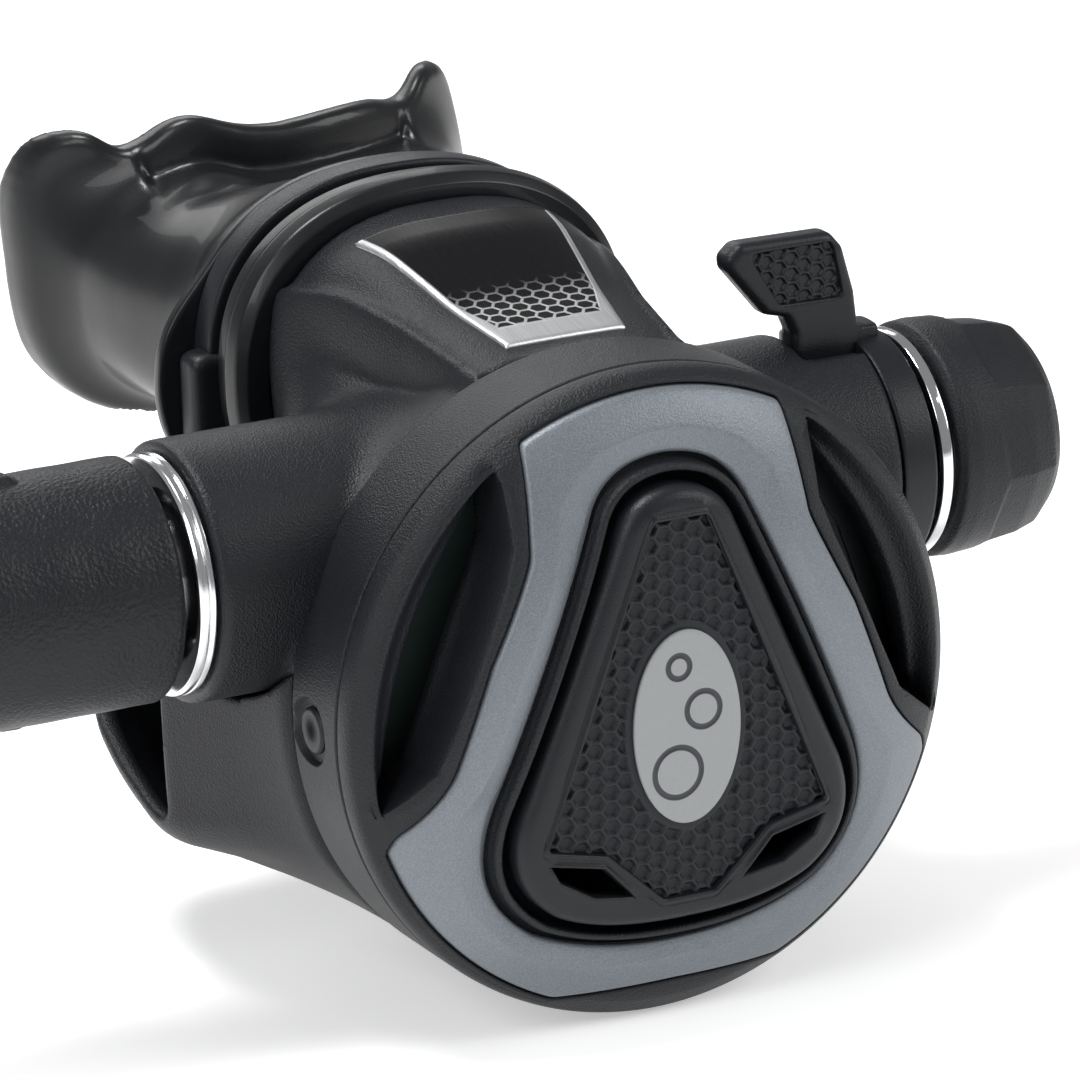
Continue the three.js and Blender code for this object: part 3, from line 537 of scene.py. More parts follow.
def rod_y(x, y, z, radius, front, rear, soft=0.6):
    """A rod on the cover's axis."""
    return meet(np.hypot(x, z) - radius, between(y, front, rear), soft)


def brick(x, y, z, low, high, soft=0.5):
    """A rounded block between two corners."""
    out = [between(v, l, h) for v, l, h in zip((x, y, z), low, high)]
    return meet(meet(out[0], out[1], soft), out[2], soft)


def eased(y, rows, reach=1.5):
    """Columns of a table that follow y, each the mean of five readings spread over reach to either side."""
    return [np.mean([np.interp(y + d, rows[:, 0], rows[:, k]) for d in np.linspace(-reach, reach, 5)], axis=0)
            for k in range(1, rows.shape[1])]


def horn(x, y, z, sections, soft=0.8):
    """Superellipses along Y, ((|x|/a)^p + (|z-c|/b)^p)^(1/p) = 1, with a, b, c and p following y."""
    rows = np.array(sections, float)
    middle, wide, tall, power = eased(y, rows)
    ratio = ((np.abs(x) / wide) ** power + (np.abs(z - middle) / tall) ** power) ** (1 / power)
    side = (ratio - 1) * np.minimum(wide, tall)
    return meet(side, between(y, rows[0, 0], rows[-1, 0]), soft)


def flat_outline(u, v, outline):
    """Signed distance in a plane from a closed polygon: nearest edge, negative when the crossing count is
    odd."""
    u, v = np.broadcast_arrays(u, v)
    best, inside = np.full(u.shape, 1e9), np.zeros(u.shape, bool)
    for (u0, v0), (u1, v1) in zip(outline, np.roll(outline, -1, axis=0)):
        du, dv = u1 - u0, v1 - v0
        if du == dv == 0:
            continue
        t = np.clip(((u - u0) * du + (v - v0) * dv) / (du * du + dv * dv), 0, 1)
        best = np.minimum(best, (u - u0 - t * du) ** 2 + (v - v0 - t * dv) ** 2)
        if dv:
            inside ^= ((v0 > v) != (v1 > v)) & (u < u0 + du * (v - v0) / dv)
    return np.where(inside, -1, 1) * np.sqrt(best)


def skin_of(field, low, high, step, rounds=3):
    """The surface where a field is zero: one point in each grid box that it crosses, at the mean of the
    crossings on the box's edges, one quad for each crossed grid edge, then a few Newton steps on to it."""
    axes = [np.arange(l, h + step, step) for l, h in zip(low, high)]
    values = field(*np.meshgrid(*axes, indexing="ij", sparse=True))
    values = np.broadcast_to(values, [len(a) for a in axes])
    shape = np.array(values.shape)
    inside = values < 0
    weights = np.array([shape[1] * shape[2], shape[2], 1])
    cells, places, quads = [], [], []
    for axis in range(3):
        near = [slice(None)] * 3
        far = [slice(None)] * 3
        near[axis], far[axis] = slice(0, -1), slice(1, None)
        start = np.argwhere(inside[tuple(near)] != inside[tuple(far)])
        u, v = np.eye(3, dtype=int)[(axis + 1) % 3], np.eye(3, dtype=int)[(axis + 2) % 3]
        start = start[(start[:, (axis + 1) % 3] > 0) & (start[:, (axis + 2) % 3] > 0)]
        f0 = values[tuple(start.T)]
        f1 = values[tuple((start + np.eye(3, dtype=int)[axis]).T)]
        crossing = start + (f0 / (f0 - f1))[:, None] * np.eye(3)[axis]
        around = [(start - a * u - b * v) @ weights for a, b in ((1, 1), (0, 1), (0, 0), (1, 0))]
        four = np.stack(around, -1)
        quads.append(np.where((f0 < 0)[:, None], four, four[:, ::-1]))
        cells.append(four.ravel())
        places.append(np.repeat(crossing, 4, axis=0))
    cells, places, quads = np.concatenate(cells), np.vstack(places), np.vstack(quads)
    _, index, count = np.unique(cells, return_inverse=True, return_counts=True)
    points = np.stack([np.bincount(index, places[:, k]) / count for k in range(3)], -1)
    lookup = np.unique(cells)
    quads = np.searchsorted(lookup, quads)
    points = np.array(low) + points * step
    reach = step * 0.2
    for _ in range(rounds):
        here = field(*points.T)
        slope = np.stack([field(*(points + reach * e).T) - field(*(points - reach * e).T)
                          for e in np.eye(3)], -1)
        slope /= 2 * reach
        move = (here / np.maximum((slope ** 2).sum(-1), 0.05))[:, None] * slope
        length = np.linalg.norm(move, axis=1, keepdims=True)
        points = points - move * np.minimum(1, 0.5 * step / np.maximum(length, 1e-9))
    return points, quads, np.empty((0, 3), int)


# ---- outlines on the front, in X and Z ----
def bend(a, b, c, count=16):
    """A quadratic curve from a to c, pulled towards b."""
    a, b, c = (np.array(p, float) for p in (a, b, c))
    t = np.linspace(0, 1, count)[:, None]
    return (1 - t) ** 2 * a + 2 * t * (1 - t) * b + t ** 2 * c


def arc(radius, start, end, count=40):
    """Part of a circle about the cover's axis."""
    t = np.linspace(start, end, count)
    return np.stack([radius * np.cos(t), radius * np.sin(t)], -1)


def both_sides(right):
    """A line of corners on the right, and its mirror image back up the left."""
    return np.vstack([right, right[::-1] * [-1, 1]])


def purge_outline(inset):
    """The purge opening, drawn inwards by inset: a round top, straight sides and wide round low corners."""
    i = inset
    side_top, side_low = (9.2 - 0.92 * i, 21.5 - 0.39 * i), (20.6 - 0.92 * i, -5.5 - 0.39 * i)
    corner = (16.5 - 0.5 * i, -22.6 + 0.86 * i)
    return both_sides(np.vstack([
        bend((0, 27.4 - i), (7.2 - 0.75 * i, 27.2 - i), side_top),
        bend(side_low, (25.3 - 1.1 * i, -16.5 + 0.45 * i), corner),
        bend(corner, (10, -25.8 + i), (0, -25.7 + i)),
    ]))


def plate_outline():
    """The trim plate's edge: two arcs on the rim, a waist at each side and a straight foot."""
    rim = 34.3
    top, side, foot = math.atan2(30.6, 15.4), math.atan2(-11.5, 32.3), math.atan2(-31.6, 13.7)
    return both_sides(np.vstack([
        arc(rim, math.pi / 2, top),
        bend((16.5, 19.5), (16.8, 17.8), (21.6, 8.5)),
        bend((25.6, -2.2), (26.8, -5.6), (31.6, -9.6)),
        arc(rim, side, foot),
        [[0, -31.2]],
    ]))


def reach_of(outline, soften=1, angles=ANGLES):
    """Distance from the axis to a closed outline at each angle, evened over soften columns."""
    closed = np.vstack([outline, outline[:1]])
    along = np.concatenate([[0], np.cumsum(np.hypot(*np.diff(closed, axis=0).T))])
    t = np.linspace(0, along[-1], 9000, endpoint=False)
    x, z = np.interp(t, along, closed[:, 0]), np.interp(t, along, closed[:, 1])
    angle = np.mod(np.arctan2(z, x), TURN)
    order = np.argsort(angle)
    radius = np.interp(angles, angle[order], np.hypot(x, z)[order], period=TURN)
    kernel = np.ones(soften) / soften
    half = soften // 2
    return np.convolve(np.concatenate([radius[-half:], radius, radius[:half]]) if half else radius, kernel,
                       "valid")


def pocket(inner, outer, rest):
    """Near and far edge, and width, of a pocket on both sides of the axis, from two lines of corners given
    for the right side; where there is none, both edges are at rest."""
    half_angle = np.arctan2(np.sin(ANGLES), np.abs(np.cos(ANGLES)))

    def edge(corners):
        corners = np.array(corners, float)
        t = np.linspace(0, len(corners) - 1, 4000)
        k = np.arange(len(corners))
        x, z = np.interp(t, k, corners[:, 0]), np.interp(t, k, corners[:, 1])
        angle = np.arctan2(z, x)
        order = np.argsort(angle)
        return np.interp(half_angle, angle[order], np.hypot(x, z)[order], left=-1, right=-1)

    near, far = edge(inner), edge(outer)
    there = (near > 0) & (far > 0) & (far > near)
    width = np.where(there, far - near, 0)
    return np.where(there, near, rest), np.where(there, far, rest), width


def dome(radius):
    """Height of the cover's domed front: an ellipse turned about the cover's axis."""
    return -15 - 11 * np.sqrt(np.clip(1 - (radius / 36.4) ** 2, 0, 1))


def relief(rows):
    """Rows of (radius, how far below the dome); radii are kept in order, a hair apart."""
    radii = np.stack([np.broadcast_to(r, ANGLES.shape) for r, _ in rows]).astype(float)
    depth = np.stack([np.broadcast_to(d, ANGLES.shape) for _, d in rows]).astype(float)
    hair = 0.012 * np.arange(len(rows))[:, None]
    radii = np.maximum.accumulate(radii - hair, axis=0) + hair
    return radii, depth


# ---- cover ----
WINDOW_INNER = [(18.7, 28.4), (18.3, 27.4), (18.3, 20.5), (19.6, 16.5), (25.3, 2.8), (27.9, -2.8),
                (33.2, -7.2)]
WINDOW_OUTER = arc(34, math.atan2(28.4, 18.7), math.atan2(-7.2, 33.2), 60)


def build_front_cover():
    """Grained front cover: a rounded rim with a seat for the trim plate, a raised rim round the purge
    opening, and a deep crescent window at each side."""
    opening, plate_inner = reach_of(purge_outline(1.35), 3), reach_of(purge_outline(0.25), 3)
    plate_outer = reach_of(plate_outline(), 3)
    near, far, width = pocket(WINDOW_INNER, WINDOW_OUTER, 33.6)
    there = steps(0, 2.2, width)
    rows = [(opening + 0.1, 6.5), (opening, 3.5), (opening, 0.95), (opening + 0.08, 0.4),
            (opening + 0.28, 0.06),
            (opening + 0.5, -0.06), (plate_inner - 0.4, -0.04), (plate_inner - 0.18, 0.1),
            (plate_inner - 0.04, 0.5),
            (plate_inner + 0.05, 1.9), (plate_inner + 0.9, 2.0), (plate_outer - 0.9, 1.2),
            (plate_outer + 0.12, 1.1),
            (plate_outer + 0.2, 0.5), (plate_outer + 0.34, 0.12), (plate_outer + 0.6, 0)]
    for share, depth in ((-0.05, 0), (-0.02, 0.1), (0, 0.35), (0.015, 0.8), (0.03, 1.8), (0.05, 3.4),
                         (0.07, 5.2),
                         (0.1, 6.8), (0.16, 7.2)):
        rows.append((near + width * share, depth * there))
    floor_row = len(rows) - 1
    for share, depth in ((0.42, 6.4), (0.385, 5.2), (0.36, 4.2), (0.33, 3.75), (0.29, 3.5), (0.235, 3.1),
                         (0.18, 2.4),
                         (0.13, 1.6), (0.085, 0.9), (0.045, 0.4), (0.01, 0.12), (-0.03, 0)):
        rows.append((far - width * share, depth * there))
    radii, depth = relief(rows)
    radii = np.minimum(radii, 35.3)
    heights = dome(radii) + depth
    edge = [(35.55, -17.32), (35.72, -17.0), (35.87, -16.55), (35.96, -16.0), (36, -15.4), (36, -14.7),
            (35.88, -14.45), (35.3, -14.4), (33.6, -14.4), (33.2, -14.2)]
    radii = np.vstack([radii] + [np.full_like(ANGLES, r)[None] for r, _ in edge])
    heights = np.vstack([heights] + [np.full_like(ANGLES, h)[None] for _, h in edge])
    keep = np.ones((len(radii) - 1, len(ANGLES)), bool)
    keep[floor_row] = there < 0.75
    made = piece("front_cover", [sheet(about_cover(radii, heights), around=True, keep=keep)], "grained_black",
                 "body", ["front_cover"])
    thicken(made, 0.8)


def build_trim_plate():
    """Painted plate: an outer band that follows the dome, a soft crease, and an inner band that falls to the
    opening's edge."""
    inner, outer = reach_of(purge_outline(0), 3), reach_of(plate_outline(), 3)
    width = outer - inner
    crease = inner + width * 0.46
    rows = [(inner + 0.5, 1.8), (inner + 0.1, 1.8), (inner, 1.7), (inner + 0.02, 1.45), (inner + 0.14, 1.3),
            (inner + 0.3, 1.2)]
    for share in (0.1, 0.3, 0.5, 0.7, 0.86, 0.94, 1.0, 1.06, 1.14):
        height = np.interp(share, [0, 0.92, 1.0, 1.08, 1.2], [1.25, 0.0, -0.12, -0.17, -0.18])
        rows.append((inner + (crease - inner) * share, height))
    rows += [(crease + (outer - crease) * share, -0.2) for share in (0.3, 0.5, 0.7)]
    rows += [(outer - 0.45, -0.2), (outer - 0.22, -0.14), (outer - 0.07, 0.0), (outer, 0.18), (outer, 0.85),
             (outer - 0.1, 1.0), (outer - 0.6, 1.0)]
    radii, depth = relief(rows)
    grid = about_cover(radii, dome(np.minimum(radii, 35)) + depth)
    piece("trim_plate", [sheet(grid, around=True, along=True)], "metallic_paint", "body",
          ["trim_plate"])


# ---- purge button ----
PANEL_OUTLINE = both_sides(np.array([[3.3, 21.7], [16.8, -12.5], [9.7, -14.1], [3.1, -20.3]]))
VENT_INNER = [(16.6, -14.1), (10.1, -15.5), (6.4, -19.5)]
VENT_OUTER = [(16.6, -14.1), (15.4, -16.3), (11.4, -18.7), (6.4, -19.5)]
CREST = BUTTON[0][1]


def crown(radius):
    """The button's face: it falls back from its crest by 0.6 mm times (radius / 26 mm) squared."""
    return CREST + 0.6 * (radius / 26) ** 2


def hexagons(x, z, pitch):
    """Distance from the nearest cell's middle, measured square to the sides of a six-sided cell with flats
    above and below; cells stand in columns, every other one half a pitch higher."""
    column = pitch * math.sqrt(3) / 2

    def cell(shift_x, shift_z):
        u = np.abs((x + shift_x + column) % (2 * column) - column)
        v = np.abs((z + shift_z + pitch / 2) % pitch - pitch / 2)
        return (v ** 10 + (u * 0.866 + v * 0.5) ** 10) ** 0.1

    return np.minimum(cell(0, 0), cell(column, pitch / 2))


def build_purge_button():
    """Button: a tall rounded frame with a small ridge round its sunken panel and two slanted vents; the
    panel is a honeycomb of sunken cells with a flat oval for the mark."""
    sizes = bpy.context.scene.stage_sizes
    panel = reach_of(PANEL_OUTLINE, 5)
    outer = {inset: reach_of(purge_outline(inset), 3) for inset in (0.6, 2.4, 2.55, 2.85, 3.3, 3.9)}
    near, far, width = pocket(VENT_INNER, VENT_OUTER, 0)
    middle = (panel + outer[3.9]) / 2
    near, far = np.where(width > 0, near, middle), np.where(width > 0, far, middle)
    there = steps(0, 1.0, width)
    rows = [(panel - 0.2, 1.3), (panel - 0.08, 0.6), (panel, 0.15), (panel + 0.1, -0.02), (panel + 0.3, -0.1),
            (panel + 0.5, -0.02), (panel + 0.72, 0.2), (panel + 0.95, 0.24)]
    for share, depth in ((-0.4, 0.1), (-0.22, 0.02), (0, 0.05), (0.1, 0.25), (0.16, 0.8), (0.2, 2.8)):
        rows.append((near + share, depth * there + 0.18 * (1 - there)))
    hole_row = len(rows) - 1
    for share, depth in ((0.2, 2.8), (0.16, 0.8), (0.1, 0.25), (0, 0.05), (-0.22, 0.02), (-0.4, 0.1)):
        rows.append((far - share, depth * there + 0.18 * (1 - there)))
    rows += [(outer[3.9], 0.22), (outer[3.3], 0.4), (outer[2.85], 0.75), (outer[2.55], 1.2),
             (outer[2.4], 1.8)]
    radii, depth = relief(rows)
    heights = crown(radii) + depth
    low = [(outer[2.4], -21.5), (outer[2.4], -19.6), (outer[0.6], -19.4), (outer[0.6], -18.6)]
    radii = np.vstack([radii] + [r[None] for r, _ in low])
    heights = np.vstack([heights] + [np.full((1, len(ANGLES)), h) for _, h in low])
    keep = np.ones((len(radii) - 1, len(ANGLES)), bool)
    keep[hole_row] = there < 0.7
    made = piece("purge_button_frame", [sheet(about_cover(radii, heights), around=True, keep=keep)],
                 "smooth_black", "purge", ["purge_button"])
    thicken(made, 0.6)

    pitch, sunk = sizes.cell_pitch / MM, sizes.cell_depth / MM
    x, z = np.meshgrid(np.arange(-17.4, 17.41, 0.145), np.arange(-20.9, 22.3, 0.145))
    wall = steps(pitch / 2 - 0.29, pitch / 2 - 0.15, hexagons(x / 1.066, z + 0.4, pitch))
    oval = np.hypot(x / 7.3, (z + 1.3) / 11.75)
    flat = steps(1.015, 0.985, oval)
    floor = crown(np.hypot(x, z)) + 0.5 + sunk * (1 - np.maximum(wall, flat)) - 0.06 * flat
    inside = flat_outline(x, z, PANEL_OUTLINE) < 0.3
    keep = inside[:-1, :-1] & inside[1:, 1:] & inside[1:, :-1] & inside[:-1, 1:]
    made = piece("purge_button_panel", [sheet(np.stack([x, floor, z], -1), keep=keep)], "honeycomb_black",
                 "purge", ["purge_button"])
    thicken(made, 0.5)


BUBBLES = ((-1.3, -6.2, 3.1), (1.9, 0.4, 2.3), (-0.9, 5.5, 1.6))


def build_purge_emblem():
    """Flat oval mark with three bubbles: rows shrink towards the middle, bubbles have engraved rings."""
    share = np.concatenate([[0.94], [1.0, 1.0], np.linspace(0.995, 0.94, 4), np.linspace(0.92, 0.02, 60)])[:,
                                                                                                           None]
    lift = np.concatenate([[0.45], [0.4, 0.12], [0.05, 0.02, 0, 0], np.zeros(60)])[:, None]
    angles = np.linspace(0, TURN, 260, endpoint=False)
    x, z = 6.4 * share * np.cos(angles), 10.8 * share * np.sin(angles) - 1.3
    groove = sum(0.1 * np.exp(-((np.hypot(x - a, z - b) - r + RING_INSET) / 0.22) ** 2) for a, b,
                 r in BUBBLES)
    y = crown(np.hypot(x, z)) + 0.02 + lift + groove * (lift < 0.01)
    piece("purge_emblem", [sheet(np.stack([x, y, z], -1), around=True, capped=True)], "printed_mark", "purge",
          ["purge_emblem"])


# ---- cover ring and lock pin ----
def build_cover_ring():
    """Grained ring: a turned band with rounded edges and an oval dimple, 1 - (d/r)^8 deep, for the lock
    pin."""
    middle_y, middle_z = (PIN[0][1] + PIN[1][1]) / 2, (PIN[0][2] + PIN[1][2]) / 2
    fine = np.linspace(math.pi - 0.14, math.pi + 0.14, 110)
    angles = np.unique(np.concatenate([np.linspace(0, TURN, 460, endpoint=False), fine]))
    face = [[COVER_RADIUS, y] for y in np.linspace(RING_REAR - 0.9, PARTING + 0.25, 60)]
    profile = np.array([[33.4, RING_REAR], [34.9, RING_REAR], [35.45, RING_REAR - 0.1],
                        [35.8, RING_REAR - 0.4]] + face
                       + [[35.88, PARTING + 0.04], [35.6, PARTING], [33.4, PARTING],
                          [33.4, (RING_REAR + PARTING) / 2]])
    radii, places = np.broadcast_arrays(profile[:, :1], profile[:, 1:])
    radii = np.repeat(radii, len(angles), axis=1)
    off = np.hypot((places - middle_y) / 3.7, (radii * np.sin(angles) - middle_z) / 3.6)
    dimple = steps(1.08, 0.96, off) * (np.cos(angles) < 0) * (radii > 35)
    grid = about_cover(radii - 0.75 * dimple, np.repeat(places, len(angles), axis=1), angles)
    piece("cover_ring", [sheet(grid, around=True, along=True)], "grained_black", "body",
          ["cover_ring"])

    disc = filleted([[0, -0.3], [2.3, -0.3], [2.6, 0.3], [2.6, 1.9], [0, 1.9]], [0, 0.5, 0.2, 0.2, 0], 5)
    around = np.linspace(0, TURN, 64, endpoint=False)
    grid = np.stack(np.broadcast_arrays(-35.55 + disc[:, 1:] * 0.6, middle_y + disc[:, :1] * np.cos(around),
                                        middle_z + disc[:, :1] * np.sin(around)), -1)
    piece("cover_lock_pin", [sheet(grid, around=True, capped=True)], "smooth_black", "cover_lock",
          ["cover_lock_pin"])


# ---- case ----
CASE_ROWS = [(-2.6, 0, 34.6, 34.6, 2), (1.5, 0.8, 33.6, 33.8, 2), (6, 3.4, 31.4, 29.8, 2.1),
             (12, 7, 28.4, 25, 2.3), (17, 12, 25.6, 22.4, 2.3), (22, 17, 23, 20.4, 2.2),
             (26, 21.4, 21.4, 19, 2.25),
             (30, 25.2, 20.6, 18.2, 2.3), (31.5, 25.2, 20.6, 18.2, 2.3)]
SADDLE_ROWS = [(-2.6, 20, 13.4, 14.6, 5.5), (10, 21, 15.2, 16.4, 5.0), (22, 23.5, 18, 18.2, 3.6),
               (31.5, 25.2, 20.6, 18.2, 2.5)]
PORT_ROWS = [(26, PORT_Z, 18.5, 15.5, PORT_POWER), (46, PORT_Z, 18.5, 15.5, PORT_POWER)]
PORT_BORE_ROWS = [(20, PORT_Z, 16.5, 13.5, PORT_POWER), (50, PORT_Z, 16.5, 13.5, PORT_POWER)]
EXHAUST_Y, EXHAUST_Z, EXHAUST_TILT = 14.6, -14.8, math.radians(56)


def on_slope(x, y, z, radius, low, high):
    """A disc square to the case's sloping rear wall, from low to high along its normal."""
    dy, dz = y - EXHAUST_Y, z - EXHAUST_Z
    normal = (math.sin(EXHAUST_TILT), -math.cos(EXHAUST_TILT))
    along = dy * normal[0] + dz * normal[1]
    across = np.hypot(x, -dy * normal[1] + dz * normal[0])
    return meet(across - radius, between(along, low, high), 0.4)


def case_outside(x, y, z):
    """Horn, saddle and barrel melted into one another, with a soft ridge along each shoulder."""
    body = melt(horn(x, y, z, CASE_ROWS), horn(x, y, z, SADDLE_ROWS), 1.0)
    shoulder = np.interp(y, [-2.6, 10, 22, 31.5], [12.6, 14.2, 17, 19.4])
    body = body - 0.75 * np.exp(-((np.abs(x) - shoulder) / 1.1) ** 2) * steps(22, 28, z)
    return melt(body, rod_x(x, y, z, BARREL_RADIUS, BARREL_LEFT, BARREL_RIGHT), 2.6)


def case_field(x, y, z):
    """The case as a shell 2.2 mm thick, with its neck, mouth port, barrel bores, lever slot and exhaust
    seat."""
    outside = case_outside(x, y, z)
    hollow = meet(outside + 2.2, -y - 2.0, 0.5)
    whole = carve(outside, hollow, 0.3)
    neck = carve(rod_y(x, y, z, 33, -9, -2), rod_y(x, y, z, 31, -12, 2), 0.2)
    bore = horn(x, y, z, PORT_BORE_ROWS)
    port = carve(horn(x, y, z, PORT_ROWS), bore, 0.3)
    whole = melt(melt(whole, neck, 0.3), port, 0.6)
    whole = carve(whole, rod_y(x, y, z, 31, -12, 0.5), 0.2)
    whole = carve(whole, bore, 0.3)
    whole = carve(whole, rod_x(x, y, z, 7.9, -60, -20), 0.3)
    whole = carve(whole, rod_x(x, y, z, 10.6, 20, 60), 0.3)
    whole = carve(whole, brick(x, y, z, (30.8, BARREL_Y - 5.4, BARREL_Z + 4), (50, BARREL_Y + 15, 50), 0.8),
                  0.5)
    whole = carve(whole, on_slope(x, y, z, 11.5, -9, 9), 0.3)
    return carve(whole, on_slope(x, y, z, 13, 0, 9), 0.3)


def build_case_body():
    """Grained case, found as the zero of case_field."""
    surface = skin_of(case_field, (-45, -10, -36), (40, 47.5, 46), 0.6)
    piece("case_body", [surface], "barrel_black", "body", ["case_body"])


def build_label_plate():
    """Thin plate on the saddle: for each x and y, the height where the case's outside is crossed from above,
    found by halving, then lifted by the plate's thickness."""
    u, v = np.meshgrid(np.linspace(-1, 1, 61), np.linspace(0, 1, 81))
    v_mm = LABEL_START + LABEL_LENGTH * v
    half_width = LABEL_FRONT + LABEL_SPREAD * v
    x = u * half_width
    low, high = np.full(x.shape, 24.0), np.full(x.shape, 50.0)
    for _ in range(24):
        middle = (low + high) / 2
        out = case_outside(x, v_mm, middle) > 0
        low, high = np.where(out, low, middle), np.where(out, middle, high)
    edge = np.minimum((1 - np.abs(u)) * half_width, np.minimum(v, 1 - v) * LABEL_LENGTH)
    top = np.stack([x, v_mm, low + 0.42 - 0.2 * steps(0.35, 0, edge)], -1)
    bottom = np.stack([x, v_mm, low - 0.4], -1)
    rim = [np.concatenate([g[0], g[1:, -1], g[-1, -2::-1], g[-2:0:-1, 0]]) for g in (top, bottom)]
    sheets = [sheet(top), sheet(bottom[:, ::-1]), sheet(np.stack([rim[1], rim[0]]), around=True)]
    points = np.vstack([s[0] for s in sheets])
    quads, shift = [], 0
    for some, faces, _ in sheets:
        quads.append(faces + shift)
        shift += len(some)
    uv = np.stack([points[:, 0], points[:, 1]], -1)
    made = piece("label_plate", [(points, np.vstack(quads), np.empty((0, 3), int))], "label", "body",
                 ["label_plate"], uv)
    weld = made.modifiers.new("weld", "WELD")
    weld.merge_threshold = 0.00001


# ---- exhaust tee ----
WING = np.array([[41.5, 8], [41.5, -4], [41.5, -12], [41.3, -19], [39.6, -21.4], [33.5, -23.6], [26.4, -27],
                 [18, -29.8], [9, -31.2], [0, -31.6]])
TEE_ROWS = np.array([[-2.5, 0, 1, 1], [5, 0.22, 1, 1], [13, 0.6, 1, 1], [21.5, 1, 1, 1], [32, 1, 0.99, 0.86],
                     [41, 1, 0.96, 0.7], [46.5, 1, 0.9, 0.56], [48.6, 1, 0.8, 0.42]])
TEE_FRONT = 35.8


def tee_outside(x, y, z):
    """A duct whose section goes from round at the ring to a wide wing at the ports: the distance from the
    middle is (1 - b) * front + b * wing(angle), with b, width and depth following y."""
    smooth = filleted(WING, 9, 8, False)
    dense = np.vstack([np.linspace(a, b, 16) for a, b in zip(smooth[:-1], smooth[1:])])
    angle = np.arctan2(-dense[:, 1], dense[:, 0])
    order = np.argsort(angle)
    b, wide, deep = eased(y, TEE_ROWS, 3)
    px, pz = np.abs(x) / wide, z / deep
    turn = np.arctan2(-pz, px)
    wing = np.interp(turn, angle[order], np.hypot(*dense.T)[order])
    side = (np.hypot(px, pz) - ((1 - b) * TEE_FRONT + b * wing)) * deep * 0.95
    return meet(side, np.abs(y - 23.05) - 25.55, 2.4)


def tee_field(x, y, z):
    """The duct as a shell 2 mm thick under its roof, cut for the ports, the barrel, the case and the ring."""
    outside = tee_outside(x, y, z)
    roof = np.where(y < 23.8, z + 0.8 - 6.5 * steps(7, 2.5, y), z - 3 + np.clip(24.6 - y, 0, 0.8) * 4.75)
    body = meet(outside, roof, 0.6)
    inner = meet(outside + 2.0, roof + 2.0, 0.6)
    body = carve(body, inner, 0.4)
    port = flat_outline(y, z, filleted([[20.2, -18.4], [20.2, -2.2], [43.6, -2.2], [43.6, -10.5]], 1.6, 5))
    body = carve(body, meet(port, 30 - np.abs(x), 0.3), 0.9)
    body = carve(body, rod_x(x, y, z, BARREL_RADIUS + 0.3, -60, 60), 0.5)
    body = carve(body, horn(x, y, z, CASE_ROWS) - 0.3, 0.5)
    body = carve(body, on_slope(x, y, z, 14.8, -3, 2.1), 0.3)
    return carve(body, rod_y(x, y, z, 38, -30, RING_REAR + 0.3), 0.3)


def build_exhaust_tee():
    """Exhaust duct with a port at each side, found as the zero of tee_field."""
    surface = skin_of(tee_field, (-43, -4, -33), (43, 50, 8), 0.55)
    piece("exhaust_tee", [surface], "grained_black", "body", ["exhaust_tee"])


# ---- mouthpiece ----
FLANGE_RADIUS, FLANGE_BACK = 36.0, 104.5
MOUTH_Z, MOUTH_TILT = 27.5, math.radians(-1.9)
NECK_ROWS = [(45.6, 25.3, 22, 18.6, 2.3), (46.4, 25.4, 23.2, 19.4, 2.3), (47.4, 25.5, 23.5, 19.5, 2.3),
             (49, 25.8, 22.7, 18, 2.3), (53, 26.4, 22.8, 16.4, 2.3), (57, 26.8, 23.4, 15.4, 2.4),
             (62, 27, 24.2, 14.8, 2.5), (67, 27.2, 24.8, 14.4, 2.6), (75, 27.4, 25.4, 14.4, 2.8),
             (84, 27.4, 25.4, 14.8, 3)]
BORE_ROWS = [(40, 25.2, 16.4, 13.4, 2.3), (50, 25.6, 15.8, 11.4, 2.3), (56, 27, 15.5, 9, 2.3),
             (65, 27.5, 16, 8, 2.3),
             (96, 27.5, 17, 8, 2.3)]


def cubic(a, b, c, d, count=10):
    """A cubic curve from a to d, pulled towards b and c."""
    a, b, c, d = (np.array(p, float) for p in (a, b, c, d))
    t = np.linspace(0, 1, count, endpoint=False)[:, None]
    return (1 - t) ** 3 * a + 3 * t * (1 - t) ** 2 * b + 3 * t ** 2 * (1 - t) * c + t ** 3 * d


LIP = both_sides(np.vstack([
    cubic((0, 44.4), (6, 44.8), (10, 45), (13, 44.4)), cubic((13, 44.4), (15, 43.8), (15.6, 43.2),
                                                             (17.2, 43.3)),
    cubic((17.2, 43.3), (19.2, 43.5), (19.6, 46.2), (22.6, 46)),
    cubic((22.6, 46), (28.8, 45.6), (28.8, 37), (28.2, 30)),
    cubic((28.2, 30), (28, 20), (26, 13.4), (19.5, 12.8)),
    cubic((19.5, 12.8), (12, 12.6), (8, 14.6), (0, 14.8)), [[0, 14.8]],
]))[:-1]


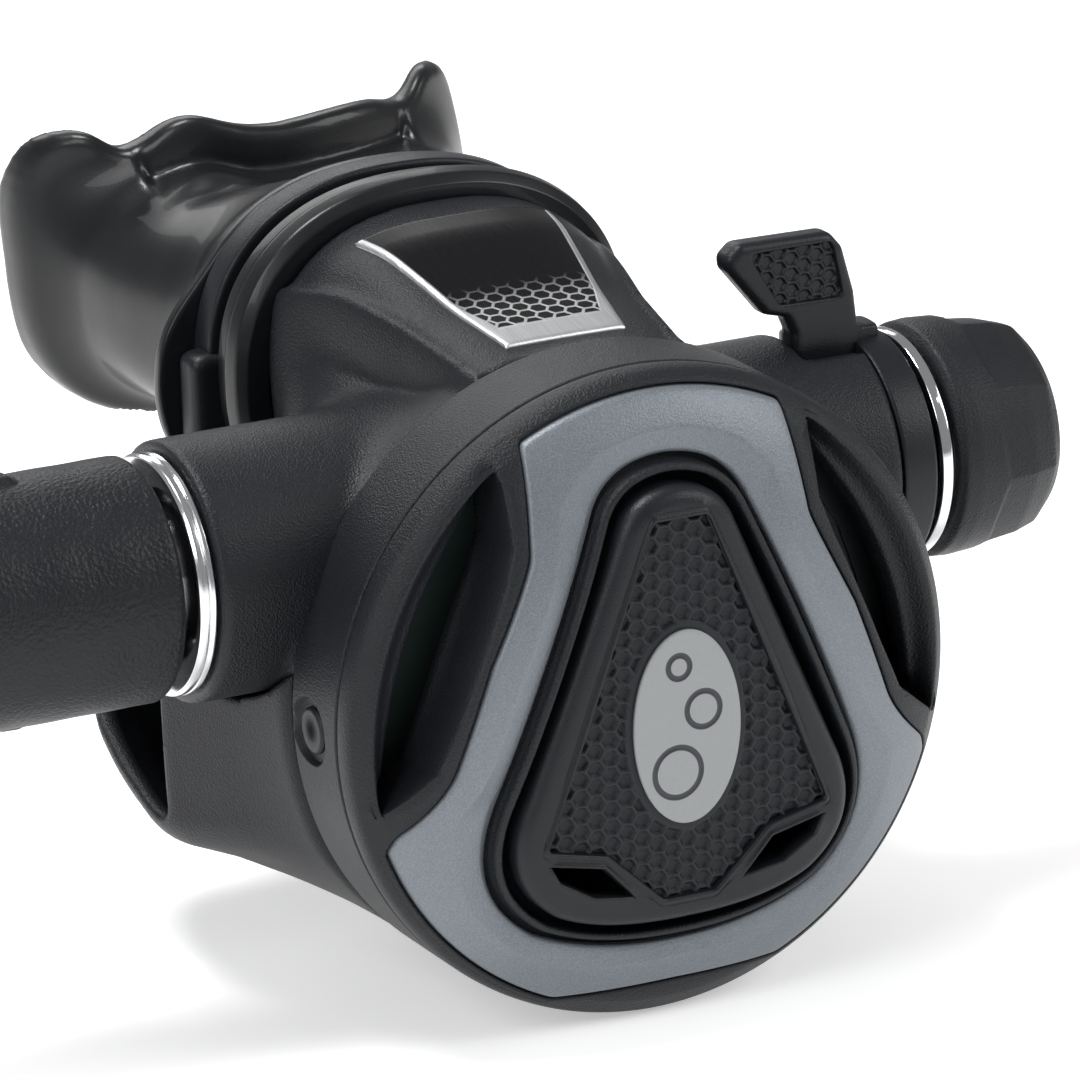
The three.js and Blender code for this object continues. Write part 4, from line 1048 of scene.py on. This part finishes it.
def mouth_field(x, y, z):
    """A neck that widens into a curved lip flange, with two bite tabs behind it and the bore through all; the
    flange end stands turned a little on the neck."""
    bore = horn(x, y, z, BORE_ROWS)
    tilt = MOUTH_TILT * steps(50, 66, y)
    x, z = x * np.cos(tilt) - (z - MOUTH_Z) * np.sin(tilt), (
        x * np.sin(tilt) + (z - MOUTH_Z) * np.cos(tilt) + MOUTH_Z + 0.7 * steps(50, 66, y))
    z = z - 2.2 * np.exp(-((x + 11) / 5) ** 2) * steps(60, 66, y) * steps(34, 39, z)
    bow = np.hypot(x, y - FLANGE_BACK)
    neck = meet(horn(x, y, z, NECK_ROWS), FLANGE_RADIUS - 1.2 - bow, 0.6)
    sheet_field = np.abs(bow - FLANGE_RADIUS + 1.6) - 1.7
    flange = meet(sheet_field, flat_outline(x, z, LIP) + 0.2, 1.6)
    flange = np.where(y < 96, flange, 5.0)
    body = melt(neck, flange, 5.0)
    floor = 39.6 + 0.3 * np.maximum(63 - y, 0) - z
    trough = meet(meet(np.abs(x) - 16.2, FLANGE_RADIUS + 0.4 - bow, 0.8), meet(floor, 50 - y, 1), 0.8)
    body = carve(body, trough, 1.6)
    side = np.abs(x)
    tab = flat_outline(side, y, np.array([[15, 72.5], [24, 78], [26, 83], [26.5, 90], [24, 94], [17, 94],
                                          [14.5, 89]]))
    blade = meet(tab, np.abs(z - 27.6) - 1.3, 1.2)
    knob = flat_outline(side, y, np.array([[16, 89.2], [25.5, 89.2], [24, 94], [17, 94]]))
    stop = meet(knob, np.abs(z - MOUTH_Z) - 4.9, 1.6)
    body = melt(body, melt(blade, stop, 0.8), 0.9)
    return carve(body, bore, 1.2)


def around_port(y, wide, tall, turn):
    """Rows round the mouth port: x and z are the half widths times cosine and sine, each raised to
    2 / PORT_POWER with its sign kept, which is a superellipse."""
    across, up = (np.sign(v) * np.abs(v) ** (2 / PORT_POWER) for v in (np.cos(turn), np.sin(turn)))
    x = wide * across
    return np.stack([x, np.broadcast_to(y, x.shape), PORT_Z + tall * up], -1)


def build_mouthpiece():
    """Silicone mouthpiece: neck, flange and bite tabs as the zero of mouth_field, and a collar of stepped
    lips, a closed profile carried round a superellipse."""
    surface = skin_of(mouth_field, (-29.5, 45.2, 11.5), (29.5, 95.2, 47.5), 0.55)
    piece("mouthpiece", [surface], "silicone", "body", ["mouthpiece"])

    corners = [(32.2, 2.6), (33.2, 3.7), (35.6, 4.1), (36.1, 2.5), (36.6, 2.4), (36.9, 3.1), (38.9, 3.1),
               (39.5, 1.75),
               (45.0, 1.6), (45.3, 3.0), (47.0, 3.0), (47.2, 1.0), (47.2, -0.6), (45.4, -1.3), (33.2, -1.3),
               (32.2, 0)]
    profile = filleted(corners, [0.5, 0.9, 0.9, 0.2, 0.2, 0.4, 0.4, 0.3, 0.4, 0.6, 0.7, 0.3, 0.3, 0.3, 0.3,
                                 0.3], 6)
    turn = np.linspace(0, TURN, 320, endpoint=False)
    y, grow = profile[:, :1], profile[:, 1:]
    ear = 4.6 * steps(1.0, 2.9, grow) * (y > 44.8) * np.exp(-np.abs((turn - math.radians(190)) / 0.46) ** 2.6)
    grid = around_port(y, COLLAR_WIDE + grow + ear, COLLAR_TALL + grow * 0.95 + ear, turn)
    piece("mouthpiece_collar", [sheet(grid, around=True, along=True)], "silicone", "body",
          ["mouthpiece"])


def build_mouthpiece_clamp():
    """Moulded band in the collar's groove, with its ratchet block at the side."""
    profile = filleted([(40.7, 2.0), (40.7, 3.3), (44.9, 3.3), (44.9, 2.0)], [0.2, 0.6, 0.6, 0.2], 5)
    turn = np.linspace(0, TURN, 240, endpoint=False)
    y, grow = profile[:, :1], profile[:, 1:]
    band = sheet(around_port(y, COLLAR_WIDE + grow, COLLAR_TALL + grow, turn), around=True, along=True)
    block = skin_of(lambda a, b, c: brick(a, b, c, (-26.2, 39.9, 15.6), (-20.6, 44.6, 27.4), 1.7),
                    (-27.6, 39.3, 14.4), (-19.5, 46, 28.8), 0.3)
    piece("mouthpiece_clamp", [band, block], "smooth_black", "body", ["mouthpiece_clamp"])


# ---- barrel ends ----
def build_metal_rings():
    """Two turned metal rings with eased edges; the left one has a fine groove."""
    left, right = LEFT_RING[0][0], LEFT_RING[1][0]
    radius = (LEFT_RING[1][2] - LEFT_RING[0][2]) / 2
    corners = [[8.2, left], [radius - 0.3, left], [radius, left + 0.4], [radius, left + 1.0],
               [radius - 0.18, left + 1.15],
               [radius, left + 1.3], [radius + 0.1, right], [8.2, right]]
    profile = filleted(corners, [0.1, 0.2, 0.3, 0.1, 0.08, 0.1, 0.25, 0.1], 4)
    piece("left_metal_ring", [turned(profile, about_barrel)], "brushed_chrome", "body",
          ["left_metal_ring"])
    left, right = RIGHT_RING[0][0], RIGHT_RING[1][0]
    radius = (RIGHT_RING[1][2] - RIGHT_RING[0][2]) / 2
    profile = filleted([[8.2, left + 0.2], [radius + 0.2, left + 0.2], [radius + 0.3, left + 1.5],
                        [radius - 0.9, right],
                        [8.2, right]], [0.1, 0.3, 0.4, 0.3, 0.1], 6)
    piece("right_metal_ring", [turned(profile, about_barrel)], "polished_chrome", "body",
          ["right_metal_ring"])


def build_adjusting_knob():
    """Knob: a turned profile with shallow scoops side by side; at angle a from a scoop's middle the radius is
    less by depth * (1 - (a / half)^2), half being half the angle between scoops."""
    sizes = bpy.context.scene.stage_sizes
    left, right = KNOB[0][0], KNOB[1][0]
    outer = filleted([[12.6, left], [13.3, left + 0.5], [13.45, left + 2.4], [13.2, left + 6],
                      [12.75, left + 9.8],
                      [11.9, left + 12.6], [10.2, left + 14.2], [0.05, right]],
                      [0.3, 0.4, 2, 3, 3, 1.6, 2.5, 0], 7, False)
    radius, place = evenly(outer, 90)
    angles = np.linspace(0, TURN, 560, endpoint=False)
    half = math.pi / sizes.flutes
    off = (angles - math.radians(10)) % (2 * half) - half
    start = left + 5.2 + 0.7 * (off / half) ** 2
    scoop = sizes.flute_depth / MM * (1 - (off / half) ** 2)
    ending = steps(right - 0.3, right - 2.2, place)
    radius = radius - scoop * steps(start, start + 0.5, place) * ending
    hollow = np.array([[0.1, left + 5], [10.8, left + 5], [10.8, left + 0.1], [11.3, left]])
    radii = np.vstack([np.repeat(hollow[:, :1], len(angles), 1), radius])
    places = np.vstack([hollow[:, 1:], place])
    grid = about_barrel(radii, places, angles)
    piece("adjusting_knob", [sheet(grid, around=True, capped=True)], "grained_black", "knob",
          ["adjusting_knob"])


BLADE = np.array([[24.6, 40.4], [23, 39], [23.1, 37.6], [27.7, 31.9], [30.3, 31.2], [31.2, 29], [31.2, 25],
                  [39.4, 25], [39.4, 29], [39, 33], [37.6, 38.3], [36, 40.2]])
FINGER_PAD = np.array([[25.7, 39.1], [29.4, 32.9], [37.3, 32.7], [36.1, 39.1]])


def lever_field(x, y, z):
    """A rounded blade on a foot, with a sunken finger pad of honeycomb cells."""
    front, back = BARREL_Y - 2.9, BARREL_Y + 0.7
    outline = filleted(BLADE, [1.6, 1.2, 1.2, 1.4, 0.8, 0.6, 0, 0, 0.6, 1.5, 1.8, 1.8], 5)
    blade = meet(flat_outline(x, z, outline), between(y, front, back), 1.3)
    cell = steps(0.6, 0.78, hexagons(x, z, 1.8))
    pad_floor = front + 0.75 - 0.3 * cell
    pad = meet(flat_outline(x, z, filleted(FINGER_PAD, 0.7, 4)), y - pad_floor, 0.15)
    foot = brick(x, y, z, (31.4, BARREL_Y - 2.5, BARREL_Z + 9), (42, BARREL_Y + 1.8, 30.2), 0.8)
    round_off = np.hypot(y - BARREL_Y, z - BARREL_Z) - 14.9
    foot = meet(foot, round_off + 0 * x, 0.5)
    return carve(melt(carve(blade, pad, 0.35), foot, 0.8), rod_x(x, y, z, 10.9, 20, 50), 0.3)


def build_venturi_lever():
    """Venturi lever: a turned collar, and its blade as the zero of lever_field."""
    left, right = BARREL_RIGHT + 0.4, 43.0
    profile = filleted([[10.7, left], [13.6, left], [13.7, left + 0.4], [13.7, right - 0.4], [13.3, right],
                        [10.7, right]], [0.1, 0.3, 0.3, 0.4, 0.4, 0.1], 5)
    blade = skin_of(lever_field, (22, BARREL_Y - 4, 23), (43, BARREL_Y + 3, 41.5), 0.2)
    piece("venturi_lever", [turned(profile, about_barrel), blade], "smooth_black", "venturi",
          ["venturi_lever"])


def build_hose_sleeve():
    """Leather-grained sleeve: a turned closed profile with a long lug on top and below."""
    left, right = SLEEVE[0][0], SLEEVE[1][0]
    corners = [[9.3, right - 1.4], [9.3, right - 0.4], [10.6, right], [12.9, right], [13.4, right - 0.6],
               [13.4, -84],
               [12.6, -88.6], [11.4, left], [8.2, left], [7.5, -89], [7.5, -64.2], [11.2, -63.6],
               [11.2, right - 1.6]]
    profile = filleted(corners, [0.2, 0.3, 0.3, 0.5, 0.5, 3, 2, 0.6, 0.6, 0.4, 0.4, 0.4, 0.2], 5)
    radius, place = evenly(profile, 260)
    angles = np.linspace(0, TURN, 300, endpoint=False)
    lug = np.exp(-((place + 63.5) / 1.7) ** 6) * np.exp(-(np.cos(angles) * 13.4 / 1.5) ** 6) * (radius > 13)
    waves = 0.04 * np.sin(place * 0.9) * np.sin(angles * 3) * (radius > 13)
    grid = about_barrel(radius + 0.75 * lug + waves, place, angles)
    piece("hose_sleeve", [sheet(grid, around=True, along=True)], "sleeve_leather", "sleeve",
          ["hose_sleeve"])


INNER_FINISHES = {
    "white_plastic": ("poppet",),
    "clear_silicone": ("exhaust_valve", "diaphragm_membrane"),
    "green_plastic": ("diaphragm_disc",),
    "spring_steel": ("purge_spring", "poppet_spring", "demand_lever", "lever_pivot", "disc_rivet"),
    "polished_chrome": ("valve_tube", "tube_nut", "hose_nut", "inlet_fitting"),
    "machined_brass": ("inlet_orifice", "balance_cylinder", "adjusting_screw"),
    "seal_rubber": ("orifice_seal", "screw_seal", "swivel_seal", "poppet_seat"),
    "smooth_black": ("venturi_vane", "exhaust_grid", "slip_ring"),
}


def finish_inner_pieces():
    """Gives every solid piece that still shows its own finish."""
    for finish, nodes in INNER_FINISHES.items():
        for node in nodes:
            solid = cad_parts[node]
            solid.data.materials.clear()
            solid.data.materials.append(finish_for(finish))


# ---- stage ----
CAMERA_TURN, CAMERA_RISE, CAMERA_ROLL = math.radians(-26.64), math.radians(17.55), math.radians(-1.73)
CAMERA_DISTANCE, CAMERA_LENS = 0.9002, 278.13
CAMERA_AIM = HOME + np.array([-4.07, 0, 13.32]) * MM


def set_stage():
    """Camera, soft lights and a plain pale floor."""
    scene = bpy.context.scene
    a, e, r = CAMERA_TURN, CAMERA_RISE, CAMERA_ROLL
    back = np.array([math.sin(a) * math.cos(e), -math.cos(a) * math.cos(e), math.sin(e)])
    right = np.array([math.cos(a), math.sin(a), 0])
    up = np.cross(back, right)
    right, up = math.cos(r) * right + math.sin(r) * up, -math.sin(r) * right + math.cos(r) * up
    camera = bpy.data.objects.new("camera", bpy.data.cameras.new("camera"))
    camera.data.lens, camera.data.sensor_width = CAMERA_LENS, 36
    camera.data.clip_start, camera.data.clip_end = 0.01, 20
    place = Matrix([[*row, 0] for row in np.stack([right, up, back], 1)] + [[0, 0, 0, 1]])
    place.translation = Vector(CAMERA_AIM + back * CAMERA_DISTANCE)
    camera.matrix_world = place
    scene.collection.objects.link(camera)
    scene.camera = camera

    def softbox(name, power, size, where, colour=(1, 1, 1)):
        light = bpy.data.lights.new(name, "AREA")
        light.energy, light.shape, light.color = power, "RECTANGLE", colour
        light.size, light.size_y = size
        lamp = bpy.data.objects.new(name, light)
        scene.collection.objects.link(lamp)
        lamp.location = where
        lamp.rotation_mode = "QUATERNION"
        lamp.rotation_quaternion = (Vector(where) - Vector((0, 0, 0.04))).to_track_quat("Z", "Y")

    softbox("top_light", 6.5, (0.34, 0.26), (-0.2, 0.12, 0.85))
    softbox("left_light", 3.4, (0.35, 0.5), (-0.75, -0.4, 0.6))
    softbox("right_light", 3.6, (0.4, 0.5), (0.65, -0.5, 0.55))
    softbox("rear_light", 2.4, (0.8, 0.3), (0.1, 0.9, 0.55))

    world = bpy.data.worlds.new("room")
    world.use_nodes = True
    world.node_tree.nodes["Background"].inputs["Color"].default_value = (1, 1, 1, 1)
    world.node_tree.nodes["Background"].inputs["Strength"].default_value = 0.3
    scene.world = world
    scene.view_settings.view_transform = "Standard"

    s = Shader("pale_floor")
    cloud = s.noise(s.place(), 300, 2)
    material = s.finish(Base_Color=s.tint(cloud, (0.9, 0.9, 0.9), (0.94, 0.94, 0.94)), Roughness=0.9,
                        Emission_Color=(1, 1, 1, 1), Emission_Strength=0.42)
    mesh = bpy.data.meshes.new("floor")
    mesh.from_pydata([(-6, -6, 0), (6, -6, 0), (6, 6, 0), (-6, 6, 0)], [], [(0, 1, 2, 3)])
    mesh.materials.append(material)
    floor = bpy.data.objects.new("floor", mesh)
    floor.location = (0, 0, -0.0002)
    scene.collection.objects.link(floor)


# ---- operators ----
class STAGE_OT_set_stage(Operator):
    """Add the camera, the lights and the floor"""
    bl_idname = "second_stage.set_stage"
    bl_label = "Stage"

    def execute(self, context):
        set_stage()
        return {"FINISHED"}


class STAGE_OT_front_cover(Operator):
    """Add the grained front cover with its windows"""
    bl_idname = "second_stage.front_cover"
    bl_label = "Front Cover"

    def execute(self, context):
        build_front_cover()
        return {"FINISHED"}


class STAGE_OT_trim_plate(Operator):
    """Add the painted trim plate"""
    bl_idname = "second_stage.trim_plate"
    bl_label = "Trim Plate"

    def execute(self, context):
        build_trim_plate()
        return {"FINISHED"}


class STAGE_OT_purge_button(Operator):
    """Add the purge button, its honeycomb panel and its mark"""
    bl_idname = "second_stage.purge_button"
    bl_label = "Purge Button"

    def execute(self, context):
        build_purge_button()
        build_purge_emblem()
        return {"FINISHED"}


class STAGE_OT_cover_ring(Operator):
    """Add the cover ring and its lock pin"""
    bl_idname = "second_stage.cover_ring"
    bl_label = "Cover Ring"

    def execute(self, context):
        build_cover_ring()
        return {"FINISHED"}


class STAGE_OT_case(Operator):
    """Add the case and its label"""
    bl_idname = "second_stage.case"
    bl_label = "Case"

    def execute(self, context):
        build_case_body()
        build_label_plate()
        return {"FINISHED"}


class STAGE_OT_exhaust_tee(Operator):
    """Add the exhaust duct"""
    bl_idname = "second_stage.exhaust_tee"
    bl_label = "Exhaust Duct"

    def execute(self, context):
        build_exhaust_tee()
        return {"FINISHED"}


class STAGE_OT_mouthpiece(Operator):
    """Add the mouthpiece, its collar and its clamp"""
    bl_idname = "second_stage.mouthpiece"
    bl_label = "Mouthpiece"

    def execute(self, context):
        build_mouthpiece()
        build_mouthpiece_clamp()
        return {"FINISHED"}


class STAGE_OT_barrel_ends(Operator):
    """Add the metal rings, the knob, the venturi lever and the hose sleeve"""
    bl_idname = "second_stage.barrel_ends"
    bl_label = "Barrel Ends"

    def execute(self, context):
        build_metal_rings()
        build_adjusting_knob()
        build_venturi_lever()
        build_hose_sleeve()
        return {"FINISHED"}


class STAGE_OT_inner_pieces(Operator):
    """Give the inner pieces their finishes"""
    bl_idname = "second_stage.inner_pieces"
    bl_label = "Inner Pieces"

    def execute(self, context):
        finish_inner_pieces()
        return {"FINISHED"}


OPERATORS = (STAGE_OT_set_stage, STAGE_OT_front_cover, STAGE_OT_trim_plate, STAGE_OT_purge_button,
             STAGE_OT_cover_ring, STAGE_OT_case, STAGE_OT_exhaust_tee, STAGE_OT_mouthpiece,
             STAGE_OT_barrel_ends, STAGE_OT_inner_pieces)


class STAGE_PT_panel(Panel):
    """Sizes, colours and pieces of the second stage"""
    bl_idname = "STAGE_PT_panel"
    bl_label = "Second Stage"
    bl_space_type = "VIEW_3D"
    bl_region_type = "UI"
    bl_category = "Second Stage"

    def draw(self, context):
        for group in (context.scene.stage_sizes, context.scene.stage_colours):
            for name in type(group).__annotations__:
                self.layout.prop(group, name)
        for operator in OPERATORS:
            self.layout.operator(operator.bl_idname)


CLASSES = (StageSizes, StageColours, *OPERATORS, STAGE_PT_panel)


def register():
    for kind in CLASSES:
        bpy.utils.register_class(kind)
    bpy.types.Scene.stage_sizes = PointerProperty(type=StageSizes)
    bpy.types.Scene.stage_colours = PointerProperty(type=StageColours)


def unregister():
    del bpy.types.Scene.stage_sizes
    del bpy.types.Scene.stage_colours
    for kind in reversed(CLASSES):
        bpy.utils.unregister_class(kind)


def main():
    """Registers the add-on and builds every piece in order."""
    register()
    for operator in OPERATORS:
        group, name = operator.bl_idname.split(".")
        getattr(getattr(bpy.ops, group), name)()


if __name__ == "__main__":
    main()
